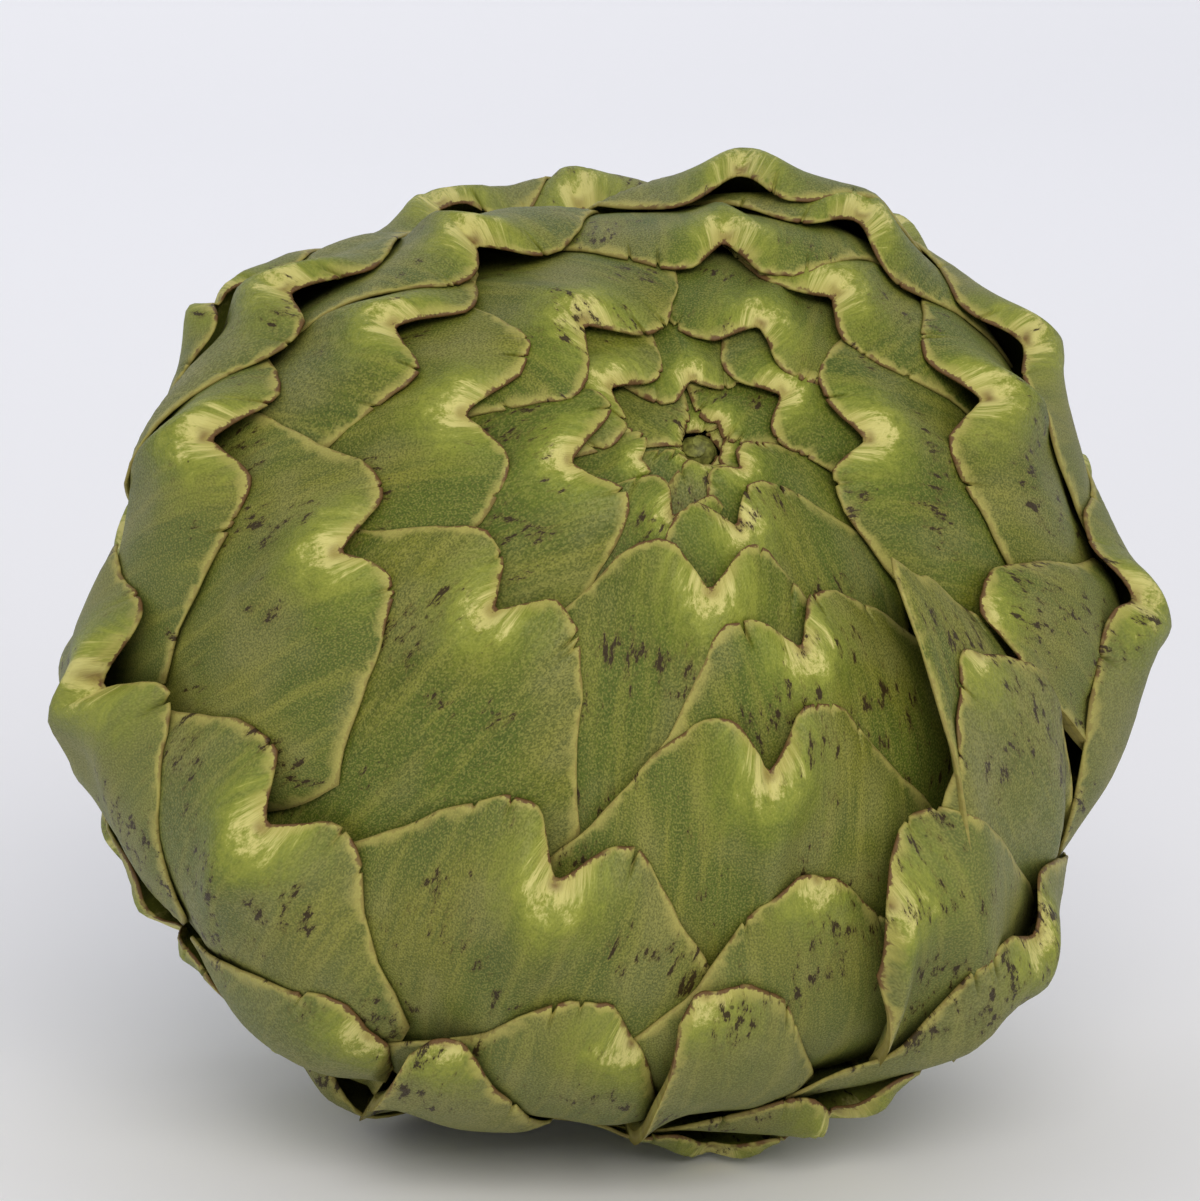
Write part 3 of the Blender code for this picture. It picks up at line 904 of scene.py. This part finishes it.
def stem_rings():
    """Rings of the skin, then of the cut: share of the radius, place on the axis."""
    end = stem_end()
    length = end - STEM_TOP
    rings = [(INNER_END_SHARE, -STEM_TOP)]
    rings += [(1, -STEM_TOP - length * step / STEM_ROWS) for step in range(STEM_ROWS)]
    rings += [(share, -end + distance * MM) for share, distance in CUT_CORNER]
    for step in range(1, CUT_RINGS):
        share = CUT_CORNER[-1][0] * (1 - step / CUT_RINGS)
        rings.append((share, -end + PITH_DIP * float(rise(1 - share, *PITH_EDGE))))
    return rings


# %% [markdown]
# The stem is turned like on a lathe: rings of points, joined by faces. The faces of the cut
# get the second material.

# %% The stub of stem
def make_stem():
    bm = bmesh.new()
    previous = None
    cut_start = STEM_ROWS + 2
    for number, (share, place) in enumerate(stem_rings()):
        ring = []
        for side in range(STEM_SIDES):
            angle = 2 * math.pi * side / STEM_SIDES
            radius = stem_radius(angle) * share
            ring.append(bm.verts.new((radius * math.cos(angle), radius * math.sin(angle), place)))
        for side in range(STEM_SIDES):
            if previous:
                after = (side + 1) % STEM_SIDES
                face = bm.faces.new((previous[side], previous[after], ring[after], ring[side]))
                face.material_index = int(number > cut_start)
        previous = ring
    bm.faces.new(previous).material_index = 1
    bm.verts.ensure_lookup_table()
    bm.faces.new([bm.verts[side] for side in range(STEM_SIDES)][::-1])
    bmesh.ops.recalc_face_normals(bm, faces=bm.faces)
    mesh = smooth_mesh("stem_stub", bm)
    put_on_axis(mesh)
    return mesh


pieces["stem_stub"] = make_piece("stem_stub", make_stem(), "stem")

# %% [markdown]
# Colours are written as the eye sees them, in sRGB, and turned to linear light by one
# function. One more function adds a shader node with its settings and links. Most masks here
# rise smoothly from none to full, and most layers are laid on by a mix of two colours.

# %% Helpers for materials
SMOOTH = {"interpolation_type": "SMOOTHSTEP"}
COLORS = {"data_type": "RGBA"}


def linear(code, alpha=1):
    """An sRGB hex colour in linear light."""
    parts = [int(code[place:place + 2], 16) / 255 for place in (1, 3, 5)]
    parts = [part / 12.92 if part <= 0.04045 else ((part + 0.055) / 1.055) ** 2.4
             for part in parts]
    return (*parts, alpha)


def add_node(tree, kind, settings=None, inputs=None):
    """Adds a node with its settings. An input is a value, or a socket that feeds it."""
    node = tree.nodes.new(kind)
    for name, value in (settings or {}).items():
        setattr(node, name, value)
    for name, value in (inputs or {}).items():
        if isinstance(value, bpy.types.NodeSocket):
            tree.links.new(value, node.inputs[name])
        else:
            node.inputs[name].default_value = value
    return node


# %% [markdown]
# The skin of a bract is a living plant cuticle: matt, waxy and faintly woolly.
# Its colour is built up like a painting. Each of the first layers is a noise with a size in
# millimetres across and along the blade, shown where it is high enough. They give the olive
# body its darker and yellower streaks, its greyish bloom and the fine grain.
# The grain of the real skin is about 0.1 mm, which is too fine to show, so it is drawn
# twice as coarse.

# %% The green body of a bract
BODY_GREEN = "#57651a"
# Size across and along in mm, the noise's detail, where the mask starts and is full, its
# share, and its colour
BODY_LAYERS = (
    (14, 22, 1, 0.42, 0.64, 0.75, "#7a7824"),
    (5, 16, 1, 0.44, 0.66, 0.50, "#455616"),
    (1.5, 18, 2, 0.48, 0.68, 0.50, "#928f38"),
    (0.7, 10, 2, 0.50, 0.68, 0.45, "#3d4e10"),
    (8, 12, 2, 0.46, 0.66, 0.42, "#868351"),
    (0.20, 0.28, 0, 0.42, 0.66, 0.42, "#9c984a"),
    (0.18, 0.25, 0, 0.44, 0.66, 0.50, "#3a4210"),
)


def paint_body(tree, place):
    """The green of the blade, its streaks, bloom and grain. Also returns the finest noise."""
    color = linear(BODY_GREEN)
    for across, along, detail, start, full, share, code in BODY_LAYERS:
        sized = add_node(tree, "ShaderNodeMapping", None,
                         {"Vector": place, "Scale": (1 / across, 1 / along, 1)})
        noise = add_node(tree, "ShaderNodeTexNoise", None,
                         {"Vector": sized.outputs[0], "Scale": 1.0, "Detail": detail})
        mask = add_node(tree, "ShaderNodeMapRange", SMOOTH,
                        {0: noise.outputs["Fac"], 1: start, 2: full, 4: share})
        layer = add_node(tree, "ShaderNodeMix", COLORS,
                         {0: mask.outputs[0], 6: color, 7: linear(code)})
        color = layer.outputs[2]
    return color, noise.outputs["Fac"]


# %% [markdown]
# Below the notch the skin bends sharply and stays pale: a cream blotch with hairy ends,
# inside two wider fans of lime green. Both spread like rays from the sinus, so their noise is
# laid out by the angle round it. At the sinus itself the tissue dries to a brown speck.

# %% The pale fan at the notch
# Rays in a radian, and how much they change in a millimetre
RAYS = 4.5
RAY_DRIFT = 0.12
# How far above the sinus the rays meet, and how ragged their ends are, in mm
RAY_CENTRE = 5.0
FAN_RAGGEDNESS = 10.0
# Distance from the sinus in mm where a zone is full and where it ends, its share, its colour,
# and whether its end is ragged
FAN_ZONES = (
    (2.5, 9.5, 0.50, "#828d2a", True),
    (1.5, 5.6, 0.50, "#a1a540", True),
    (1.01, 3.0, 0.88, "#cfc77a", True),
    (0.1, 1.2, 0.85, "#5c3410", False),
)


def paint_fan(tree, skin, from_sinus, seed):
    """The lime and cream zones, and the brown speck. Also returns the noise of the rays."""
    place = add_node(tree, "ShaderNodeSeparateXYZ", None, {0: from_sinus})
    lower = add_node(tree, "ShaderNodeMath", {"operation": "ADD"},
                     {0: place.outputs["Y"], 1: RAY_CENTRE})
    angle = add_node(tree, "ShaderNodeMath", {"operation": "ARCTAN2"},
                     {0: place.outputs["X"], 1: lower.outputs[0]})
    distance = add_node(tree, "ShaderNodeVectorMath", {"operation": "LENGTH"}, {0: from_sinus})
    slow = add_node(tree, "ShaderNodeMath", {"operation": "MULTIPLY"},
                    {0: distance.outputs["Value"], 1: RAY_DRIFT})
    polar = add_node(tree, "ShaderNodeCombineXYZ", None,
                     {"X": angle.outputs[0], "Y": slow.outputs[0], "Z": seed})
    rays = add_node(tree, "ShaderNodeTexNoise", None,
                    {"Vector": polar.outputs[0], "Scale": RAYS, "Detail": 4.0, "Roughness": 0.8})
    ragged = add_node(tree, "ShaderNodeMath", {"operation": "MULTIPLY_ADD"},
                      {0: rays.outputs["Fac"], 1: FAN_RAGGEDNESS, 2: -FAN_RAGGEDNESS / 2})
    shifted = add_node(tree, "ShaderNodeMath", {"operation": "ADD"},
                       {0: ragged.outputs[0], 1: distance.outputs["Value"]})
    for full, end, share, code, is_ragged in FAN_ZONES:
        reached = shifted.outputs[0] if is_ragged else distance.outputs["Value"]
        mask = add_node(tree, "ShaderNodeMapRange", SMOOTH,
                        {0: reached, 1: end, 2: full, 4: share})
        layer = add_node(tree, "ShaderNodeMix", COLORS,
                         {0: mask.outputs[0], 6: skin, 7: linear(code)})
        skin = layer.outputs[2]
    return skin, rays.outputs["Fac"]


# %% [markdown]
# The margin is a pale yellow band about a millimetre wide, with a purple-brown rim where
# the tissue is dry. The rim is patchy, and strongest round the lobes. Both are masks of the
# distance to the outline, made wider and narrower by noise.

# %% The margin and its dry rim
# Widths and distances from the sinus in mm
MARGIN_WIDTH = (0.4, 2.0)
MARGIN_COLOR = "#b3a95a"
RIM_WIDTH = (0.06, 0.48)
RIM_COLOR = "#5b3820"
LOBE_RIM_START = 14.0
LOBE_RIM_FULL = 8.0
LEAST_RIM = 0.35
LEAST_PATCH = 0.15
# Patches in a millimetre along the margin and the rim
MARGIN_PATCHES = 0.3
RIM_PATCHES = 0.9


def paint_margin(tree, skin, place, from_sinus, rim):
    """The pale margin, and the dry rim along the outline."""
    noise = add_node(tree, "ShaderNodeTexNoise", None,
                     {"Vector": place, "Scale": MARGIN_PATCHES, "Detail": 2.0,
                      "Roughness": 0.65})
    width = add_node(tree, "ShaderNodeMapRange", None,
                     {0: noise.outputs["Fac"], 1: 0.35, 2: 0.65,
                      3: MARGIN_WIDTH[0], 4: MARGIN_WIDTH[1]})
    share = add_node(tree, "ShaderNodeMath", {"operation": "DIVIDE"},
                     {0: rim, 1: width.outputs[0]})
    mask = add_node(tree, "ShaderNodeMapRange", SMOOTH,
                    {0: share.outputs[0], 1: 1.0, 2: 0.0, 4: 0.75})
    margin = add_node(tree, "ShaderNodeMix", COLORS,
                      {0: mask.outputs[0], 6: skin, 7: linear(MARGIN_COLOR)})
    fine = add_node(tree, "ShaderNodeTexNoise", None,
                    {"Vector": place, "Scale": RIM_PATCHES, "Detail": 3.0, "Roughness": 0.7})
    dry_width = add_node(tree, "ShaderNodeMapRange", None,
                         {0: fine.outputs["Fac"], 1: 0.38, 2: 0.66,
                          3: RIM_WIDTH[0], 4: RIM_WIDTH[1]})
    dry_share = add_node(tree, "ShaderNodeMath", {"operation": "DIVIDE"},
                         {0: rim, 1: dry_width.outputs[0]})
    dry = add_node(tree, "ShaderNodeMapRange", SMOOTH,
                   {0: dry_share.outputs[0], 1: 1.3, 2: 0.5, 4: 0.9})
    away = add_node(tree, "ShaderNodeVectorMath", {"operation": "LENGTH"}, {0: from_sinus})
    at_lobes = add_node(tree, "ShaderNodeMapRange", SMOOTH,
                        {0: away.outputs["Value"], 1: LOBE_RIM_START, 2: LOBE_RIM_FULL,
                         3: LEAST_RIM, 4: 1.0})
    patches = add_node(tree, "ShaderNodeMapRange", SMOOTH,
                       {0: noise.outputs["Fac"], 1: 0.37, 2: 0.50, 3: LEAST_PATCH, 4: 1.0})
    spread = add_node(tree, "ShaderNodeMath", {"operation": "MULTIPLY"},
                      {0: patches.outputs[0], 1: at_lobes.outputs[0]})
    dried = add_node(tree, "ShaderNodeMath", {"operation": "MULTIPLY"},
                     {0: dry.outputs[0], 1: spread.outputs[0]})
    layer = add_node(tree, "ShaderNodeMix", COLORS,
                     {0: dried.outputs[0], 6: margin.outputs[2], 7: linear(RIM_COLOR)})
    return layer.outputs[2]


# %% [markdown]
# Handling leaves marks: brown-black scuffs in loose clusters, longer along the blade than
# across, each with a paler smudge round it, and small round specks. How many there are
# differs from bract to bract. A scuff shows where one noise is above a level, and the level is
# lower inside clusters and on worn bracts.

# %% Scuffs and specks
# Sizes in mm
SCUFF_SIZE = (1.0, 2.8)
SCUFF_SLANT = 0.5
CLUSTER_SIZE = 9
SPECK_SPACING = 2.8
WEAR_GAIN = 0.16
# The scuffs' level outside and inside clusters
SCUFF_LEVEL = (0.76, 0.57)
SCUFF_COLOR = "#2c1b06"
SMUDGE_COLOR = "#564a1c"


def paint_scuffs(tree, skin, place, wear):
    """The scuffs with their smudges, and the specks."""
    sized = add_node(tree, "ShaderNodeMapping", None,
                     {"Vector": place, "Rotation": (0, 0, SCUFF_SLANT),
                      "Scale": (1 / SCUFF_SIZE[0], 1 / SCUFF_SIZE[1], 1)})
    scuffs = add_node(tree, "ShaderNodeTexNoise", None,
                      {"Vector": sized.outputs[0], "Scale": 1.0, "Detail": 4.0, "Roughness": 0.7})
    clusters = add_node(tree, "ShaderNodeTexNoise", None,
                        {"Vector": place, "Scale": 1 / CLUSTER_SIZE, "Detail": 1.0})
    worn = add_node(tree, "ShaderNodeMath", {"operation": "MULTIPLY_ADD"},
                    {0: wear, 1: WEAR_GAIN, 2: clusters.outputs["Fac"]})
    level = add_node(tree, "ShaderNodeMapRange", SMOOTH,
                     {0: worn.outputs[0], 1: 0.50, 2: 0.72,
                      3: SCUFF_LEVEL[0], 4: SCUFF_LEVEL[1]})
    above = add_node(tree, "ShaderNodeMath", {"operation": "SUBTRACT"},
                     {0: scuffs.outputs["Fac"], 1: level.outputs[0]})
    mask = add_node(tree, "ShaderNodeMapRange", SMOOTH,
                    {0: above.outputs[0], 1: 0.0, 2: 0.035, 4: 0.9})
    smudge = add_node(tree, "ShaderNodeMapRange", SMOOTH,
                      {0: above.outputs[0], 1: -0.09, 2: 0.02, 4: 0.45})
    smudged = add_node(tree, "ShaderNodeMix", COLORS,
                       {0: smudge.outputs[0], 6: skin, 7: linear(SMUDGE_COLOR)})
    scuffed = add_node(tree, "ShaderNodeMix", COLORS,
                       {0: mask.outputs[0], 6: smudged.outputs[2], 7: linear(SCUFF_COLOR)})
    cells = add_node(tree, "ShaderNodeTexVoronoi", None,
                     {"Vector": place, "Scale": 1 / SPECK_SPACING})
    patches = add_node(tree, "ShaderNodeMath", {"operation": "MULTIPLY_ADD"},
                       {0: clusters.outputs["Fac"], 1: -0.30, 2: cells.outputs["Distance"]})
    speck = add_node(tree, "ShaderNodeMapRange", SMOOTH,
                     {0: patches.outputs[0], 1: -0.10, 2: -0.15, 4: 0.7})
    layer = add_node(tree, "ShaderNodeMix", COLORS,
                     {0: speck.outputs[0], 6: scuffed.outputs[2], 7: linear(SCUFF_COLOR)})
    return layer.outputs[2]


# %% [markdown]
# The outer bracts carry more of the greyish bloom. The young ones round the tip are painted a
# darker green, partly a deeper green of their own and partly painted shade where the tip
# closes. How old a bract is shows in its number on the spiral, which its points carry.

# %% Older bracts, and the young ones with painted shade
# Orders where a tone starts and is full, its share and its colour
AGE_TONES_AND_TIP_SHADE = (
    (12, 42, 0.35, "#828250"),
    # Darker round the tip: partly the young bracts' own green, partly painted shade
    (24, 2, 0.25, "#43530f"),
)


def paint_age_and_tip_shade(tree, skin, order):
    """The bloom of the old bracts, and the young ones' darker green, which is partly painted shade.
    """
    for start, full, share, code in AGE_TONES_AND_TIP_SHADE:
        mask = add_node(tree, "ShaderNodeMapRange", SMOOTH,
                        {0: order, 1: start, 2: full, 4: share})
        layer = add_node(tree, "ShaderNodeMix", COLORS,
                         {0: mask.outputs[0], 6: skin, 7: linear(code)})
        skin = layer.outputs[2]
    return skin


# %% [markdown]
# The bump adds what is too small to model: veins along the blade, grain, and the creases that
# run out from the sinus. Veins are about a millimetre apart.

# %% The relief of the skin
# Veins in a millimetre across and along the blade, heights, and distances from the sinus in mm
VEIN_SCALE = (1.1, 0.05, 1)
VEIN_HEIGHT = 0.12 * MM
CREASE_HEIGHT = 0.5 * MM
CREASE_REACH = 9.0
CREASE_FULL = 1.5


def raise_skin(tree, place, from_sinus, grain, rays):
    """The skin's bumps, as a normal for the shader."""
    veins = add_node(tree, "ShaderNodeMapping", None, {"Vector": place, "Scale": VEIN_SCALE})
    ridges = add_node(tree, "ShaderNodeTexNoise", None,
                      {"Vector": veins.outputs[0], "Scale": 1.0, "Detail": 2.0})
    relief = add_node(tree, "ShaderNodeMath", {"operation": "MULTIPLY_ADD"},
                      {0: grain, 1: 0.5, 2: ridges.outputs["Fac"]})
    skin_bump = add_node(tree, "ShaderNodeBump", None,
                         {"Strength": 0.4, "Distance": VEIN_HEIGHT, "Height": relief.outputs[0]})
    away = add_node(tree, "ShaderNodeVectorMath", {"operation": "LENGTH"}, {0: from_sinus})
    near = add_node(tree, "ShaderNodeMapRange", SMOOTH,
                    {0: away.outputs["Value"], 1: CREASE_REACH, 2: CREASE_FULL})
    creases = add_node(tree, "ShaderNodeMath", {"operation": "MULTIPLY"},
                       {0: rays, 1: near.outputs[0]})
    bump = add_node(tree, "ShaderNodeBump", None,
                    {"Strength": 0.6, "Distance": CREASE_HEIGHT, "Height": creases.outputs[0],
                     "Normal": skin_bump.outputs[0]})
    return bump.outputs[0]


# %% [markdown]
# All layers come together in one material. A waxy leaf reflects little and softly: its index
# of refraction is that of wax, 1.45, and the wool on the cuticle dulls it further.

# %% The bract skin
CUTICLE_IOR = 1.45
CUTICLE_ROUGHNESS = (0.5, 0.68)
CUTICLE_GLOSS = 0.35


def make_bract_skin():
    material = bpy.data.materials.new("bract_skin_waxy_cuticle")
    material.use_nodes = True
    tree = material.node_tree
    shader = tree.nodes["Principled BSDF"]
    place, from_sinus, character, rim = [
        add_node(tree, "ShaderNodeAttribute", {"attribute_name": name}).outputs[output]
        for name, output in (("blade_place", "Vector"), ("from_sinus", "Vector"),
                             ("character", "Vector"), ("rim_distance", "Fac"))]
    traits = add_node(tree, "ShaderNodeSeparateXYZ", None, {0: character}).outputs
    seed = add_node(tree, "ShaderNodeSeparateXYZ", None, {0: place}).outputs["Z"]
    skin, grain = paint_body(tree, place)
    # The bloom of the old bracts, and the darker tip that is partly painted shade
    skin = paint_age_and_tip_shade(tree, skin, traits["Y"])
    skin, rays = paint_fan(tree, skin, from_sinus, seed)
    skin = paint_margin(tree, skin, place, from_sinus, rim)
    skin = paint_scuffs(tree, skin, place, traits["X"])
    tree.links.new(skin, shader.inputs["Base Color"])
    rough = add_node(tree, "ShaderNodeMapRange", None,
                     {0: grain, 1: 0.3, 2: 0.7, 3: CUTICLE_ROUGHNESS[0], 4: CUTICLE_ROUGHNESS[1]})
    tree.links.new(rough.outputs[0], shader.inputs["Roughness"])
    normal = raise_skin(tree, place, from_sinus, grain, rays)
    tree.links.new(normal, shader.inputs["Normal"])
    shader.inputs["IOR"].default_value = CUTICLE_IOR
    shader.inputs["Specular IOR Level"].default_value = CUTICLE_GLOSS
    print(material.name, "nodes:", len(tree.nodes))
    return material


bract_skin = make_bract_skin()
for name in REGIONS:
    pieces[name].data.materials.append(bract_skin)


# %% [markdown]
# The bud, the base and the stem are made of the same kind of tissue, but have no notch or
# margin. One noise mixes two colours and gives the relief. Along the stem it is stretched to
# fibres, and on the cut it is even, as pith is.

# %% Bud, base, stem skin and cut
def make_tissue(name, base, second, per_mm, stretch, roughness):
    """Plant tissue with two colours. The noise is sized per millimetre, along the head's axis."""
    material = bpy.data.materials.new(name)
    material.use_nodes = True
    tree = material.node_tree
    shader = tree.nodes["Principled BSDF"]
    place = add_node(tree, "ShaderNodeTexCoord").outputs["Object"]
    turned = add_node(tree, "ShaderNodeMapping", {"vector_type": "TEXTURE"},
                      {"Vector": place, "Rotation": (math.pi / 2 - AXIS_RISE, 0, 0)})
    scaled = add_node(tree, "ShaderNodeMapping", None,
                      {"Vector": turned.outputs[0], "Scale": (1 / MM, 1 / MM, stretch / MM)})
    grain = add_node(tree, "ShaderNodeTexNoise", None,
                     {"Vector": scaled.outputs[0], "Scale": per_mm, "Detail": 4.0})
    share = add_node(tree, "ShaderNodeMapRange", None,
                     {0: grain.outputs["Fac"], 1: 0.38, 2: 0.64})
    color = add_node(tree, "ShaderNodeMix", COLORS,
                     {0: share.outputs[0], 6: linear(base), 7: linear(second)})
    tree.links.new(color.outputs[2], shader.inputs["Base Color"])
    shader.inputs["Roughness"].default_value = roughness
    shader.inputs["IOR"].default_value = CUTICLE_IOR
    bump = add_node(tree, "ShaderNodeBump", None,
                    {"Strength": 0.4, "Distance": 0.15 * MM, "Height": grain.outputs["Fac"]})
    tree.links.new(bump.outputs[0], shader.inputs["Normal"])
    print(material.name, "nodes:", len(tree.nodes))
    return material


bud_skin = make_tissue("bud_skin_dark_cuticle", "#55561f", "#82843a", 1.6, 1, 0.6)
base_flesh = make_tissue("base_skin_pale_green", "#6f7640", "#8c9058", 0.9, 0.2, 0.65)
stem_skin = make_tissue("stem_skin_ribbed_rind", "#7f8450", "#9ba06c", 0.8, 0.05, 0.62)
stem_pith = make_tissue("stem_cut_pith", "#b9b084", "#8d8552", 1.1, 1, 0.75)
pieces["bud"].data.materials.append(bud_skin)
pieces["fleshy_base"].data.materials.append(base_flesh)
pieces["stem_stub"].data.materials.append(stem_skin)
pieces["stem_stub"].data.materials.append(stem_pith)

# %% [markdown]
# The head lies on a plain pale surface that runs up behind it without an edge, as in a
# photographer's studio.

# %% The floor
FLOOR_HALF_WIDTH = 3.0
FLOOR_FRONT = -1.5
SWEEP_START = 0.9
SWEEP_RADIUS = 0.8
SWEEP_HEIGHT = 2.0
SWEEP_STEPS = 16


def make_floor():
    profile = [(FLOOR_FRONT, 0), (SWEEP_START, 0)]
    for step in range(1, SWEEP_STEPS + 1):
        angle = math.pi / 2 * step / SWEEP_STEPS
        profile.append((SWEEP_START + SWEEP_RADIUS * math.sin(angle),
                        SWEEP_RADIUS * (1 - math.cos(angle))))
    profile.append((SWEEP_START + SWEEP_RADIUS, SWEEP_HEIGHT))
    points = [(x, y, z) for y, z in profile for x in (-FLOOR_HALF_WIDTH, FLOOR_HALF_WIDTH)]
    faces = [(2 * row, 2 * row + 1, 2 * row + 3, 2 * row + 2) for row in range(len(profile) - 1)]
    mesh = bpy.data.meshes.new("floor")
    mesh.from_pydata(points, [], faces)
    mesh.shade_smooth()
    floor = bpy.data.objects.new("floor", mesh)
    bpy.context.scene.collection.objects.link(floor)
    material = bpy.data.materials.new("matt_card")
    material.use_nodes = True
    shader = material.node_tree.nodes["Principled BSDF"]
    shader.inputs["Base Color"].default_value = linear("#f5f5f8")
    shader.inputs["Roughness"].default_value = 0.9
    shader.inputs["Specular IOR Level"].default_value = 0.1
    mesh.materials.append(material)


make_floor()
print("floor: up to", SWEEP_HEIGHT, "m high")

# %% [markdown]
# The light is soft from all sides, with more from a window-like panel in front and above.
# A second panel lights only the surface behind.

# %% Light
def add_panel(name, place, target, size, power, color):
    """A flat lamp at a place in metres, turned to its target."""
    light = bpy.data.lights.new(name, "AREA")
    light.shape = "RECTANGLE"
    light.size, light.size_y = size
    light.energy = power
    light.color = linear(color)[:3]
    lamp = bpy.data.objects.new(name, light)
    bpy.context.scene.collection.objects.link(lamp)
    lamp.location = place
    aim = Vector(target) - Vector(place)
    lamp.rotation_euler = aim.to_track_quat("-Z", "Y").to_euler()
    print(name, "at", place, "m:", power, "W")


add_panel("window_panel", (-0.12, -1.25, 0.88), (0, 0, 0.04), (1.0, 0.7), 12.4, "#fffaf3")
add_panel("wall_panel", (0, 0.5, 1.2), (0, 1.6, 0.5), (1.6, 0.8), 6.0, "#f8faff")
world = bpy.data.worlds.new("studio")
world.use_nodes = True
world.node_tree.nodes["Background"].inputs["Color"].default_value = linear("#f0f1f5")
world.node_tree.nodes["Background"].inputs["Strength"].default_value = 0.6
bpy.context.scene.world = world
bpy.context.scene.view_settings.view_transform = "Standard"

# %% [markdown]
# The camera looks from in front, a little from the left and from above. It stands 0.6 m away
# with a long lens, because the photograph shows hardly any perspective. The framing is worked
# out for an image of 1200 by 1201 pixels.

# %% Camera
AZIMUTH = math.radians(-14)
ELEVATION = math.radians(12)
CAMERA_DISTANCE = 0.6
CAMERA_LENS = 162
SENSOR_WIDTH = 36
AIM_ABOVE_MIDDLE = 6.06 * MM

back = Vector((math.sin(AZIMUTH) * math.cos(ELEVATION),
               -math.cos(AZIMUTH) * math.cos(ELEVATION), math.sin(ELEVATION)))
right = Vector((math.cos(AZIMUTH), math.sin(AZIMUTH), 0))
up = back.cross(right)
camera_data = bpy.data.cameras.new("camera")
camera_data.lens = CAMERA_LENS
camera_data.sensor_width = SENSOR_WIDTH
camera_data.sensor_fit = "HORIZONTAL"
camera = bpy.data.objects.new("camera", camera_data)
bpy.context.scene.collection.objects.link(camera)
camera.matrix_world = Matrix((right, up, back)).transposed().to_4x4()
camera.location = Vector(MIDDLE) + up * AIM_ABOVE_MIDDLE + back * CAMERA_DISTANCE
bpy.context.scene.camera = camera
print("camera at", [round(value, 3) for value in camera.location], "m")
